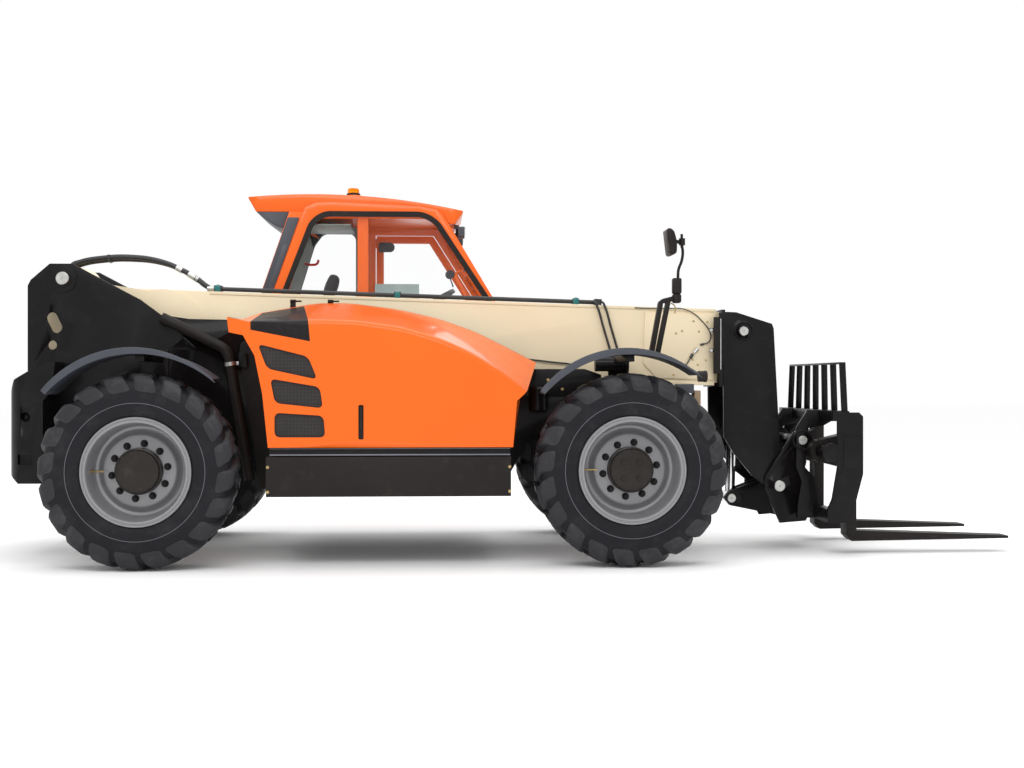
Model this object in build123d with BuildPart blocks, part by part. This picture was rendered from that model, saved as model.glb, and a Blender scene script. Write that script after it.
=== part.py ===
from build123d import *

import os
from math import cos, hypot, radians, sin, sqrt

os.makedirs("parts", exist_ok=True)

# ---------------------------------------------------------------- frame of the machine
# Millimetres. X forward, Y to the driver's left (the cab side), Z up from the ground.
# The origin is under the middle of the machine's box, forks included.
tail_overhang = 945.0  # rear axle to the back of the counterweight
wheelbase = 3184.0
front_reach = 2800.0  # front axle to the fork tips
overall_length = tail_overhang + wheelbase + front_reach
rear_x = -overall_length / 2 + tail_overhang  # rear axle
front_x = rear_x + wheelbase  # front axle

# clearances
pin_clearance = 0.08  # a pin in its bore, on the radius
seat_gap = 0.3  # between faces that seat on each other
slide_clearance = 8.0  # telescope in its outer tube, each side
swing_gap = 6.0  # round a door or a cover that opens

# ---------------------------------------------------------------- wheels and axles
track = 2105.0
tyre_radius = 635.0  # to the tips of the lugs
tyre_width = 390.0
carcass_radius = 600.0  # between the lugs
bead_radius = 345.0
lug_count = 20  # on each side of a tyre
lug_width = 62.0
lug_overlap = 14.0  # past the centre line
lug_sweep = 34.0  # degrees from square across
rim_flange_radius = 352.0
rim_barrel_radius = 322.0
rim_width = 330.0
rim_wall = 14.0
rim_disc_set = 30.0  # disc outboard of the wheel's middle
rim_disc_thickness = 18.0
hub_radius = 150.0
hub_cap_radius = 112.0
hub_face = 128.0  # outer end of the hub, from the wheel's middle
hub_inner = -120.0
nut_count = 10
nut_circle = 180.0
nut_radius = 17.0
nut_height = 26.0
spindle_radius = 62.0
kingpin_y = 800.0
kingpin_radius = 32.0
knuckle_half_height = 112.0
knuckle_radius = 78.0
yoke_thickness = 46.0
axle_z = tyre_radius
axle_beam = 150.0
axle_beam_height = 170.0
diff_radius = 188.0
tie_arm = 240.0  # kingpin to the tie rod's pin
tie_rod_radius = 20.0
tie_pin_radius = 14.0
arm_thickness = 30.0
steer_barrel_radius = 42.0
steer_barrel_x = 200.0
steer_barrel_rise = 68.0

wheel_y = track / 2
# wheel, axle, side of the machine (+1 left)
corners = [
    ("front_left", front_x, 1),
    ("front_right", front_x, -1),
    ("rear_left", rear_x, 1),
    ("rear_right", rear_x, -1),
]
# axle, its place, where its tie rod lies (+1 ahead of the axle)
axles = [("front", front_x, -1), ("rear", rear_x, 1)]

# ---------------------------------------------------------------- frame and tower
frame_outer = 415.0  # half width over the side plates
plate = 30.0
frame_inner = frame_outer - plate
frame_bottom = 520.0
frame_arch = 800.0  # underside over the axles
frame_top = 1130.0
tower_top = 2028.0
counterweight_front = -720.0  # from the rear axle
counterweight_top = 1285.0
deck_thickness = 30.0

# ---------------------------------------------------------------- boom
boom_pivot_x = rear_x - 660.0
boom_pivot_z = 1925.0
boom_droop = 1.84  # degrees below level at rest
boom_tail = -160.0  # along the boom from its pivot
boom_length = 4600.0  # pivot to the front of the outer tube
boom_top = -42.0  # top of the tube, from the pivot's level
boom_height = 550.0
boom_bottom = boom_top - boom_height
boom_half_width = 230.0
boom_wall = 12.0
doubler = 12.0
pivot_radius = 60.0
pivot_boss = 112.0
inner_half_width = boom_half_width - boom_wall - slide_clearance
inner_wall = 12.0
inner_rear = 360.0  # inner tube's back end, along the boom
head_station = 4625.0  # front end of the inner tube, along the boom

# lift cylinders, one on each side of the boom
lift_y = 312.0
lift_barrel_radius = 57.0
lift_rod_radius = 36.0
lift_eye_radius = 58.0
lift_pin_radius = 34.0
lift_eye_half = 45.0
lift_base_x = rear_x - 200.0
lift_base_z = 1322.0
lift_lug_u = 2020.0  # along the boom
lift_lug_w = -530.0  # up from the pivot's level

# ---------------------------------------------------------------- boom head and coupler
head_outer = 300.0
head_plate = 30.0
coupler_pivot_x = front_x + 1187.0
coupler_pivot_z = 466.0
tilt_base_x = front_x + 933.0
tilt_base_z = 1575.0
tilt_eye_x = front_x + 897.0
tilt_eye_z = 358.0
tilt_barrel_radius = 66.0
tilt_rod_radius = 36.0
tilt_eye_radius = 58.0
tilt_pin_radius = 32.0
tilt_eye_half = 42.0
coupler_inner = head_outer + 8.0
coupler_plate = 28.0
hook_x = front_x + 1347.0
hook_z = 794.0
lock_x = front_x + 1355.0
lock_z = 286.0
hook_pin_radius = 32.0
carriage_half_width = 750.0
fork_face = front_x + 1701.0  # front of the fork shanks
fork_thickness = 72.0
fork_width = 150.0
fork_spacing = 830.0
fork_bottom = 84.0
fork_top_heel = 158.0
fork_top_tip = 116.0
fork_tip_thickness = 18.0
fork_top = 969.0
fork_shaft_x = front_x + 1452.0
fork_shaft_z = 722.0
fork_shaft_radius = 46.0

# ---------------------------------------------------------------- fenders
fender_radius = 755.0
fender_thickness = 14.0
fender_lip = 46.0
fender_tip = 5.0
front_fender_tip = 55.0  # degrees above level, ahead of the axle
fender_inner = 875.0
fender_outer = 1215.0
fender_arm = 44.0  # depth of the arm under each fender
fender_arm_width = 60.0
fender_arm_reach = 1100.0
filter_radius = 52.0
filter_flange = 74.0
filter_z = 1336.0

# ---------------------------------------------------------------- engine pod
pod_outer = 1160.0
pod_inner = 450.0
hood_wall = 25.0
sill_top = 778.0
sill_bottom = 468.0

# ---------------------------------------------------------------- cab
cab_inner = 430.0  # wall beside the boom
cab_outer = 1221.0
cab_wall = 45.0
cab_belt = 1400.0  # where the tub meets the frame
cab_floor = 780.0
glass = 6.0
pane_margin = 75.0
pane_bottom = 1570.0
pane_top = 2410.0
door_rear = rear_x + 1430.0


def side(y):
    """The plane that stands along the machine at y, seen from its right."""
    return Plane.XZ.offset(-y)


def boom_side(y):
    """The same, turned with the boom: x runs along the boom from its pivot."""
    droop = radians(boom_droop)
    return Plane(
        origin=(boom_pivot_x, y, boom_pivot_z),
        x_dir=(cos(droop), 0, -sin(droop)),
        z_dir=(0, -1, 0),
    )


def at_boom(u, w):
    """A place on the boom at rest, as x and z of the machine."""
    droop = radians(boom_droop)
    return (
        boom_pivot_x + u * cos(droop) + w * sin(droop),
        boom_pivot_z - u * sin(droop) + w * cos(droop),
    )


def tan_deg(angle):
    return sin(radians(angle)) / cos(radians(angle))


def save(shape, name):
    shape.label = name
    export_step(shape, f"parts/{name}.step")


# ================================================================ wheels
def tyre_shape():
    """A tyre about Y, outboard at -Y: flat-sided carcass and chevron lugs."""
    # profile: radius, distance from the middle
    profile = [
        (bead_radius, 152.0),
        (415.0, 188.0),
        (500.0, tyre_width / 2),
        (566.0, 178.0),
        (carcass_radius - 8, 124.0),
    ]
    stations = [(r, -y) for r, y in profile] + [(r, y) for r, y in reversed(profile)]
    sides = 2 * lug_count
    lug_foot = 528.0
    lug_end = tyre_width / 2 - 7
    lug_run = (lug_end + lug_overlap) * tan_deg(lug_sweep)
    lug_reach = (lug_run + lug_width) / 2  # its corners lie on the tyre's full radius
    lug_height = sqrt(tyre_radius**2 - lug_reach**2)
    with BuildPart() as tyre:
        for r, y in stations:
            with BuildSketch(side(y)):
                RegularPolygon(r, sides)
        loft(ruled=True)
        with BuildSketch(side(tyre_width)):
            Circle(bead_radius - 1)
        extrude(amount=2 * tyre_width, mode=Mode.SUBTRACT)
        for hand in (1, -1):
            for i in range(lug_count):
                angle = 360 / lug_count * (i + (0.5 if hand > 0 else 0))
                plane = Plane(
                    origin=(lug_foot * sin(radians(angle)), 0, lug_foot * cos(radians(angle))),
                    x_dir=(cos(radians(angle)), 0, -sin(radians(angle))),
                    z_dir=(sin(radians(angle)), 0, cos(radians(angle))),
                )
                y0, y1 = -hand * lug_overlap, hand * lug_end
                with BuildSketch(plane):
                    Polygon(
                        (-lug_run / 2 - lug_width / 2, y0),
                        (-lug_run / 2 + lug_width / 2, y0),
                        (lug_run / 2 + lug_width / 2, y1),
                        (lug_run / 2 - lug_width / 2, y1),
                        align=None,
                    )
                extrude(amount=lug_height - lug_foot)
    return tyre.part


def rim_shape():
    """Rim and hub about Y, outboard at -Y."""
    half = rim_width / 2
    bead_seat = bead_radius - 1 - seat_gap
    with BuildPart() as rim:
        with BuildSketch(Plane.XY) as section:  # radius along X, across the wheel along Y
            with BuildLine():
                Polyline(
                    (bead_seat, -half),
                    (rim_flange_radius, -half),
                    (rim_flange_radius, -half - rim_wall),
                    (rim_barrel_radius + 6, -half - rim_wall),
                    (rim_barrel_radius - rim_wall, -half + 30),
                    (rim_barrel_radius - rim_wall, half - 30),
                    (rim_barrel_radius + 6, half + rim_wall),
                    (rim_flange_radius, half + rim_wall),
                    (rim_flange_radius, half),
                    (bead_seat, half),
                    (bead_seat, half - 40),
                    (rim_barrel_radius, half - 62),
                    (rim_barrel_radius, -half + 62),
                    (bead_seat, -half + 40),
                    close=True,
                )
            make_face()
        revolve(axis=Axis.Y)
        with BuildSketch(side(-rim_disc_set + rim_disc_thickness)):
            Circle(rim_barrel_radius - 2)
        extrude(amount=rim_disc_thickness)
        with BuildSketch(side(-hub_inner)):
            Circle(hub_radius)
        extrude(amount=-hub_inner + hub_face - 40)
        with BuildSketch(side(-hub_face + 40)):
            Circle(hub_cap_radius)
        extrude(amount=40)
        with BuildSketch(side(-rim_disc_set)):
            with PolarLocations(nut_circle, nut_count):
                RegularPolygon(nut_radius, 6)
        extrude(amount=nut_height)
        with BuildSketch(side(-hub_inner)):
            Circle(spindle_radius + pin_clearance)
        extrude(amount=-hub_inner + 40, mode=Mode.SUBTRACT)
    return rim.part


def knuckle_shape():
    """Steering knuckle about its kingpin, outboard at -Y, tie-rod arm along +X."""
    spindle_end = wheel_y - kingpin_y + 36
    with BuildPart() as knuckle:
        with BuildSketch(Plane.XY.offset(-knuckle_half_height)):
            Circle(knuckle_radius)
        extrude(amount=2 * knuckle_half_height)
        with BuildSketch(side(0)):
            Circle(spindle_radius)
        extrude(amount=spindle_end)
        with BuildSketch(side(-knuckle_radius + 6)):
            Circle(knuckle_half_height - 4)
        extrude(amount=22)
        with BuildSketch(Plane.XY.offset(-knuckle_half_height)):
            with Locations((tie_arm / 2, 0)):
                SlotCenterToCenter(tie_arm, 76)
        extrude(amount=arm_thickness)
        with BuildSketch(Plane.XY.offset(-knuckle_half_height - 1)):
            with Locations((tie_arm, 0)):
                Circle(tie_pin_radius + pin_clearance)
        extrude(amount=arm_thickness + 2, mode=Mode.SUBTRACT)
        with BuildSketch(Plane.XY.offset(-knuckle_half_height - 1)):
            Circle(kingpin_radius + pin_clearance)
        extrude(amount=41, mode=Mode.SUBTRACT)
        with BuildSketch(Plane.XY.offset(knuckle_half_height + 1)):
            Circle(kingpin_radius + pin_clearance)
        extrude(amount=-41, mode=Mode.SUBTRACT)
    return knuckle.part


tyre_part = tyre_shape()
rim_part = rim_shape()
knuckle_part = knuckle_shape()
for name, x, hand in corners:
    turn = 180 if hand > 0 else 0  # left wheels face the other way
    place = Location((x, hand * wheel_y, axle_z), (0, 0, turn))
    save(tyre_part.moved(place), f"tyre_{name}")
    save(rim_part.moved(place), f"rim_{name}")
for axle, x, ahead in axles:
    for word, hand in (("left", 1), ("right", -1)):
        knuckle = knuckle_part
        if (hand > 0) != (ahead < 0):
            knuckle = mirror(knuckle, about=Plane.YZ)
        turn = 180 if hand > 0 else 0
        place = Location((x, hand * kingpin_y, axle_z), (0, 0, turn))
        save(knuckle.moved(place), f"knuckle_{axle}_{word}")

# ================================================================ axles
for axle, x, ahead in axles:
    with BuildPart() as beam:
        with BuildSketch(Plane.XZ) as middle:
            with Locations((x, axle_z)):
                RectangleRounded(axle_beam, axle_beam_height, 30)
        extrude(amount=kingpin_y - 130, both=True)
        with BuildSketch(Plane.YZ.offset(x)):
            with Locations((0, axle_z)):
                Circle(diff_radius)
        extrude(amount=135, both=True)
        with BuildSketch(Plane.XY.offset(axle_z - 60)):
            with Locations((x - ahead * 150, 0)):
                Rectangle(120, 120)
        extrude(amount=120)
        for hand in (1, -1):
            kingpin = (x, hand * kingpin_y)
            with BuildSketch(Plane.XY.offset(axle_z - knuckle_half_height - arm_thickness - yoke_thickness)):
                with Locations((x, hand * (kingpin_y - 60))):
                    SlotCenterToCenter(150, 130, rotation=90)
            extrude(amount=yoke_thickness)
            with BuildSketch(Plane.XY.offset(axle_z + knuckle_half_height + 4)):
                with Locations((x, hand * (kingpin_y - 60))):
                    SlotCenterToCenter(150, 130, rotation=90)
            extrude(amount=yoke_thickness)
            yoke_low = axle_z - knuckle_half_height - arm_thickness - yoke_thickness
            yoke_high = axle_z + knuckle_half_height + 4 + yoke_thickness
            with BuildSketch(Plane.XY.offset(yoke_low)):
                with Locations((x, hand * (kingpin_y - 150))):
                    Rectangle(axle_beam - 10, 70)
            extrude(amount=yoke_high - yoke_low)
            with BuildSketch(Plane.XY.offset(yoke_low)):
                with Locations(kingpin):
                    Circle(kingpin_radius)
            extrude(amount=yoke_thickness + arm_thickness + 38)
            with BuildSketch(Plane.XY.offset(yoke_high)):
                with Locations(kingpin):
                    Circle(kingpin_radius)
            extrude(amount=-yoke_thickness - 42)
        # steering cylinder, fixed along the beam
        with BuildSketch(Plane.XZ.offset(-330)):
            with Locations((x + ahead * steer_barrel_x, axle_z + steer_barrel_rise)):
                Circle(steer_barrel_radius)
        extrude(amount=660)
        with BuildSketch(Plane.XZ.offset(-80)):
            with Locations((x + ahead * 130, axle_z + steer_barrel_rise)):
                Rectangle(120, 50)
        extrude(amount=160)
        # pads under the frame
        for hand in (1, -1):
            with BuildSketch(Plane.XY.offset(axle_z + 40)):
                with Locations((x, hand * (frame_outer - plate / 2))):
                    Rectangle(220, 110)
            extrude(amount=frame_arch - seat_gap - axle_z - 40)
    save(beam.part, f"axle_{axle}")

    with BuildPart() as tie:
        rod_z = axle_z - knuckle_half_height - arm_thickness
        arm_x = x + ahead * tie_arm
        with BuildSketch(Plane.XZ.offset(-kingpin_y)):
            with Locations((arm_x, rod_z)):
                Circle(tie_rod_radius)
        extrude(amount=2 * kingpin_y)
        with BuildSketch(Plane.XY.offset(rod_z - tie_rod_radius - 4)):
            with Locations((arm_x, kingpin_y), (arm_x, -kingpin_y)):
                Circle(34)
        extrude(amount=2 * tie_rod_radius + 4)
        with BuildSketch(Plane.XY.offset(rod_z)):
            with Locations((arm_x, kingpin_y), (arm_x, -kingpin_y)):
                Circle(tie_pin_radius)
        extrude(amount=arm_thickness + 26)
    save(tie.part, f"tie_rod_{axle}")

# ================================================================ frame and tower
def both_sides(y_outer):
    """Outer planes of a pair of plates, left and right, for extruding towards -Y."""
    return side(y_outer), side(-y_outer + plate)


tower_profile = [
    (rear_x - 900, counterweight_top),
    (rear_x - 900, 1874),
    (rear_x - 880, 1915),
    (rear_x - 750, tower_top),
    (rear_x - 597, tower_top),
    (rear_x - 134, 1781),
    (rear_x + 6, 1677),
    (rear_x + 200, 1648),
    (rear_x + 640, 1640),
    (rear_x + 860, frame_top),
    (front_x + 380, frame_top),
    (front_x + 540, frame_top - 60),
    (front_x + 560, frame_arch + 60),
    (front_x + 460, frame_arch),
    (front_x - 620, frame_arch),
    (front_x - 780, frame_bottom),
    (rear_x + 820, frame_bottom),
    (rear_x + 660, frame_arch),
    (rear_x + counterweight_front, frame_arch),
    (rear_x + counterweight_front, counterweight_top),
]
boom_rest_u = front_x + 260 - boom_pivot_x
boom_under = at_boom(boom_rest_u, boom_bottom)[1]
with BuildPart() as frame:
    for plane in both_sides(frame_outer):
        with BuildSketch(plane):
            Polygon(*tower_profile, align=None)
            with Locations((rear_x - 720, 1620)):
                SlotOverall(150, 78, rotation=115, mode=Mode.SUBTRACT)
            with Locations((rear_x - 733, 1465)):
                Circle(32, mode=Mode.SUBTRACT)
        extrude(amount=plate)
    # deck, belly, transom and nose between the plates
    with BuildSketch(Plane.XY.offset(frame_top - deck_thickness)):
        with Locations(((rear_x + 900 + front_x + 440) / 2, 0)):
            Rectangle(front_x + 440 - rear_x - 900, 2 * frame_inner)
    extrude(amount=deck_thickness)
    with BuildSketch(Plane.XY.offset(frame_bottom)):
        with Locations(((rear_x + front_x) / 2 + 20, 0)):
            Rectangle(wheelbase - 1600, 2 * frame_inner)
    extrude(amount=plate)
    with BuildSketch(Plane.YZ.offset(rear_x + counterweight_front)):
        with Locations((0, (frame_arch + counterweight_top) / 2)):
            Rectangle(2 * frame_inner, counterweight_top - frame_arch)
    extrude(amount=plate)
    with BuildSketch(Plane.YZ.offset(front_x + 430)):
        with Locations((0, (frame_arch + frame_top - 80) / 2)):
            Rectangle(2 * frame_inner, frame_top - 80 - frame_arch)
    extrude(amount=plate)
    # pad under the front of the boom
    with BuildSketch(Plane.XY.offset(frame_top)):
        with Locations((front_x + 260, 0)):
            Rectangle(140, 2 * boom_half_width - 60)
    extrude(amount=boom_under - frame_top - swing_gap)
    for x, z, r in ((boom_pivot_x, boom_pivot_z, 96), (lift_base_x, lift_base_z, 62)):
        for y in (frame_outer + 12, -frame_outer + 1):
            with BuildSketch(side(y)):
                with Locations((x, z)):
                    Circle(r)
            extrude(amount=13)
    # boom pivot and the lift cylinders' pins
    with BuildSketch(side(frame_outer + 20)):
        with Locations((boom_pivot_x, boom_pivot_z)):
            Circle(pivot_radius)
    extrude(amount=2 * frame_outer + 40)
    for hand in (1, -1):
        pin_start = frame_inner + 1 if hand > 0 else -(lift_y - lift_eye_half - 8)
        with BuildSketch(side(pin_start)):
            with Locations((lift_base_x, lift_base_z)):
                Circle(lift_pin_radius)
        extrude(amount=frame_inner + 1 - (lift_y - lift_eye_half - 8))
    # grab handle on the near tower plate
    with BuildLine() as grip:
        FilletPolyline(
            (rear_x + 170, -frame_outer + 2, 1520), (rear_x + 170, -frame_outer - 46, 1520),
            (rear_x + 255, -frame_outer - 46, 1440), (rear_x + 255, -frame_outer + 2, 1440),
            radius=22,
        )
    with BuildSketch(Plane(origin=grip.line @ 0, z_dir=grip.line % 0)):
        Circle(9)
    sweep(path=grip.line)
    # arms that carry the fenders
    for x in (rear_x, front_x):
        for hand in (1, -1):
            with BuildSketch(side(frame_outer + 24 if hand > 0 else -frame_outer)):
                with Locations((x, 1240)):
                    Rectangle(120, 390)
            extrude(amount=24)
            arm_top = axle_z + sqrt(fender_radius**2 - (fender_arm_width / 2) ** 2) - seat_gap
            with BuildSketch(side(fender_arm_reach if hand > 0 else -frame_outer)):
                with Locations((x, arm_top - fender_arm / 2)):
                    Rectangle(fender_arm_width, fender_arm)
            extrude(amount=fender_arm_reach - frame_outer)
    # filter canister beside the frame, with a flange at its front end
    for start, radius, length in ((-159, filter_radius, 210), (51, filter_flange, 22)):
        with BuildSketch(Plane.YZ.offset(front_x + start)):
            with Locations((-frame_outer - 60, filter_z)):
                Circle(radius)
        extrude(amount=length)
save(frame.part, "chassis_frame")


def around(x, radius, angle):
    """A place at a radius and angle about a wheel's centre."""
    return (x + radius * cos(radians(angle)), axle_z + radius * sin(radians(angle)))


with BuildPart() as fenders:
    # axle, angles of the tip, the fullest place and the back end
    for x, tip, full, back in ((rear_x, 51, 100, 139), (front_x, front_fender_tip, 98, 139)):
        for hand in (1, -1):
            with BuildSketch(side(fender_outer if hand > 0 else -fender_inner)):
                with BuildLine():
                    ThreePointArc(
                        around(x, fender_radius, tip),
                        around(x, fender_radius, (tip + back) / 2),
                        around(x, fender_radius, back),
                    )
                    Line(around(x, fender_radius, back), around(x, fender_radius + fender_thickness, back))
                    ThreePointArc(
                        around(x, fender_radius + fender_thickness, back),
                        around(x, fender_radius + fender_thickness, (tip + back) / 2),
                        around(x, fender_radius + fender_thickness, tip),
                    )
                    Line(around(x, fender_radius + fender_thickness, tip), around(x, fender_radius, tip))
                make_face()
            extrude(amount=fender_outer - fender_inner)
            # the lip grows from the tip to the fullest place
            with BuildSketch(side(fender_outer if hand > 0 else -fender_outer + fender_thickness)):
                with BuildLine():
                    ThreePointArc(
                        around(x, fender_radius, tip - 2),
                        around(x, fender_radius, (tip + back) / 2),
                        around(x, fender_radius, back),
                    )
                    Line(around(x, fender_radius, back), around(x, fender_radius + fender_lip - 8, back))
                    ThreePointArc(
                        around(x, fender_radius + fender_lip - 8, back),
                        around(x, fender_radius + fender_lip, full),
                        around(x, fender_radius + fender_tip, tip - 2),
                    )
                    Line(around(x, fender_radius + fender_tip, tip - 2), around(x, fender_radius, tip - 2))
                make_face()
            extrude(amount=fender_thickness)
save(fenders.part, "fenders")

tail_lamps = ((560, 1030), (-560, 1030))
tail_lamp_width = 90.0
tail_lamp_height = 180.0
tail_lamp_depth = 16.0
with BuildPart() as counterweight:
    back = rear_x - tail_overhang
    with BuildSketch(side(700)):
        Polygon(
            (back, 590),
            (back + 60, 528),
            (rear_x + counterweight_front, 528),
            (rear_x + counterweight_front, counterweight_top),
            (back + 130, counterweight_top),
            (back + 30, counterweight_top - 60),
            (back, counterweight_top - 150),
            align=None,
        )
    extrude(amount=1400)
    fillet(counterweight.edges().filter_by(Axis.Z).group_by(Axis.X)[0], 70)
    for hand in (1, -1):
        with BuildSketch(side(700 if hand > 0 else -frame_outer - 40)):
            Polygon(
                (rear_x + counterweight_front - 90, counterweight_top - 20),
                (rear_x + counterweight_front + 1, counterweight_top - 200),
                (rear_x - 662, counterweight_top - 130),
                (rear_x - 640, counterweight_top + 60),
                (rear_x - 700, counterweight_top + 60),
                align=None,
            )
        extrude(amount=700 - frame_outer - 40)
        with BuildSketch(side(710 if hand > 0 else -650)):
            with Locations((rear_x - 838, 975)):
                Circle(32)
            with Locations((rear_x - 838, 690)):
                Rectangle(95, 68)
        extrude(amount=60, mode=Mode.SUBTRACT)
    # pockets for the tail lamps
    with BuildSketch(Plane.YZ.offset(back - 1)):
        with Locations(*tail_lamps):
            RectangleRounded(tail_lamp_width + 2, tail_lamp_height + 2, 19)
    extrude(amount=tail_lamp_depth + 2, mode=Mode.SUBTRACT)
save(counterweight.part, "counterweight")

# ================================================================ engine pod
# bulkhead between the engine and the boom, with a tongue back to the exhaust pipe
bulkhead_profile = [
    (rear_x + 690, sill_bottom),
    (rear_x + 835, sill_bottom),
    (rear_x + 835, sill_top - 1),
    (front_x - 860, sill_top - 1),
    (front_x - 800, 1330),
    (rear_x + 1940, 1560),
    (rear_x + 1300, 1640),
    (rear_x + 700, 1580),
    (rear_x + 560, 1480),
    (rear_x + 548, 1400),
    (rear_x + 642, 808),
]
hood_hinges = (rear_x + 900, rear_x + 1160)
hood_hinge_y, hood_hinge_z = -frame_outer - 20, 1772.0
knuckle_height = 38.0
hinge_pin = 6.0
with BuildPart() as sill:
    with BuildSketch(side(-frame_outer)):
        Polygon(
            (rear_x + 815, sill_bottom),
            (front_x - 787, sill_bottom),
            (front_x - 787, sill_top - 52),
            (rear_x + 815, sill_top - 52),
            align=None,
        )
    extrude(amount=pod_outer - frame_outer)
    with BuildSketch(side(-frame_outer)):
        Polygon(
            (rear_x + 835, sill_top - 53),
            (front_x - 807, sill_top - 53),
            (front_x - 807, sill_top),
            (rear_x + 835, sill_top),
            align=None,
        )
    extrude(amount=pod_outer - 24 - frame_outer)
    # bulkhead between the engine and the boom
    with BuildSketch(side(-frame_outer - 8)):
        Polygon(
            *bulkhead_profile,
            align=None,
        )
    extrude(amount=20)
    for x in hood_hinges:
        with BuildSketch(Plane.YZ.offset(x)):
            with Locations((hood_hinge_y, 1655)):
                Rectangle(12, 240)
            with Locations((hood_hinge_y, hood_hinge_z)):
                Circle(12)
        extrude(amount=knuckle_height)
        with BuildSketch(Plane.YZ.offset(x)):
            with Locations((hood_hinge_y, hood_hinge_z)):
                Circle(hinge_pin)
        extrude(amount=2 * knuckle_height + 2)
save(sill.part, "pod_sill")

with BuildPart() as engine:
    with BuildSketch(Plane.XY.offset(sill_top)):
        with Locations((rear_x + 1640, -790)):
            RectangleRounded(980, 480, 40)
    extrude(amount=560)
save(engine.part, "engine_block")

hood_bottom = sill_top + 8
# the hood's outline on its outer side, from the rear axle and the ground
hood_outer = [
    (828, hood_bottom), (792, 1130), (742, 1380), (668, 1512), (578, 1530), (566, 1628),
    (700, 1600), (1129, 1612), (1400, 1604), (1676, 1566), (1940, 1490), (2130, 1405), (2330, 1280),
    (2500, 1146), (2436, 1088), (2410, hood_bottom),
]
# and beside the boom
hood_inner = [
    (828, hood_bottom), (792, 1130), (742, 1380), (668, 1518), (578, 1536), (572, 1642),
    (700, 1690), (1070, 1757), (1314, 1759), (1650, 1717), (1940, 1650), (2190, 1560), (2440, 1436),
    (2613, 1345), (2520, 1206), (2410, hood_bottom),
]


def hood_solid(inset):
    """The hood's outer form, or the hollow in it, that much smaller all round."""
    with BuildPart() as solid:
        for y, points in ((-pod_outer + inset, hood_outer), (-pod_inner + (1 if inset else 0), hood_inner)):
            with BuildSketch(side(y)):
                Polygon(*[(rear_x + x, z) for x, z in points], align=None)
                if inset:
                    offset(amount=-inset, kind=Kind.INTERSECTION, mode=Mode.REPLACE)
        loft(ruled=True)
    return solid.part


latch_x, latch_z = rear_x + 1425, 950.0
with BuildPart() as hood:
    add(hood_solid(0))
    add(hood_solid(hood_wall), mode=Mode.SUBTRACT)
    # open below as far as the bulkhead, so that the hood swings clear of the engine
    with BuildSketch(Plane.XY.offset(hood_bottom - 1)):
        with Locations((rear_x + 1620, -(pod_outer + pod_inner - hood_wall) / 2)):
            Rectangle(1500, pod_outer - pod_inner - hood_wall)
    extrude(amount=2 * hood_wall, mode=Mode.SUBTRACT)
    # pocket for the latch
    with BuildSketch(side(-pod_outer + 14)):
        with Locations((latch_x, latch_z)):
            RectangleRounded(42, 233, 12)
    extrude(amount=20, mode=Mode.SUBTRACT)
    with BuildSketch(side(-pod_outer + 15)):
        with Locations((latch_x, latch_z + 30)):
            RectangleRounded(24, 130, 8)
    extrude(amount=12)
    for x in hood_hinges:
        with BuildSketch(Plane.YZ.offset(x + knuckle_height + seat_gap)):
            with Locations((hood_hinge_y, hood_hinge_z)):
                Circle(12)
            Polygon(
                (hood_hinge_y - 90, 1700), (hood_hinge_y - 16, 1728), (hood_hinge_y, hood_hinge_z - 11),
                (hood_hinge_y, hood_hinge_z + 11), (hood_hinge_y - 24, 1762), (hood_hinge_y - 90, 1745),
                align=None,
            )
            with Locations((hood_hinge_y, hood_hinge_z)):
                Circle(hinge_pin + pin_clearance, mode=Mode.SUBTRACT)
        extrude(amount=knuckle_height - seat_gap)

# openings in the side of the hood, from the rear axle and the ground
hood_windows = (
    ((722, 1545), (1072, 1478), (1092, 1584), (726, 1578)),
    ((776, 1452), (1040, 1376), (1090, 1250), (822, 1310)),
    ((842, 1222), (1142, 1171), (1161, 1035), (866, 1066)),
    ((866, 990), (1174, 971), (1187, 848), (870, 849)),
)
window_radius = 14.0
with BuildPart() as grilles:
    for points in hood_windows:
        with BuildSketch(side(-pod_outer + 16)) as opening:
            Polygon(*[(rear_x + x, z) for x, z in points], align=None)
            fillet(opening.vertices(), window_radius)
        extrude(amount=8)
# the shell's wall is cut for them
with BuildPart() as hood_cut:
    add(hood.part)
    for points in hood_windows:
        with BuildSketch(side(-pod_outer + hood_wall + 2)) as opening:
            Polygon(*[(rear_x + x, z) for x, z in points], align=None)
            fillet(opening.vertices(), window_radius)
        extrude(amount=hood_wall + 4, mode=Mode.SUBTRACT)
save(hood_cut.part, "hood_shell")
save(grilles.part, "hood_grilles")

pipe_radius = 38.0
pipe_y = frame_outer + seat_gap + pipe_radius
with BuildPart() as pipe:
    with BuildLine() as route:
        FilletPolyline(
            (rear_x + 20, -pipe_y, 1655),
            (rear_x + 474, -pipe_y, 1431),
            (rear_x + 577, -pipe_y, 808),
            (rear_x + 625, -pipe_y, 530),
            radius=120,
        )
    with BuildSketch(Plane(origin=route.line @ 0, z_dir=route.line % 0)):
        Circle(pipe_radius)
    sweep()
save(pipe.part, "exhaust_pipe")

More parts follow.
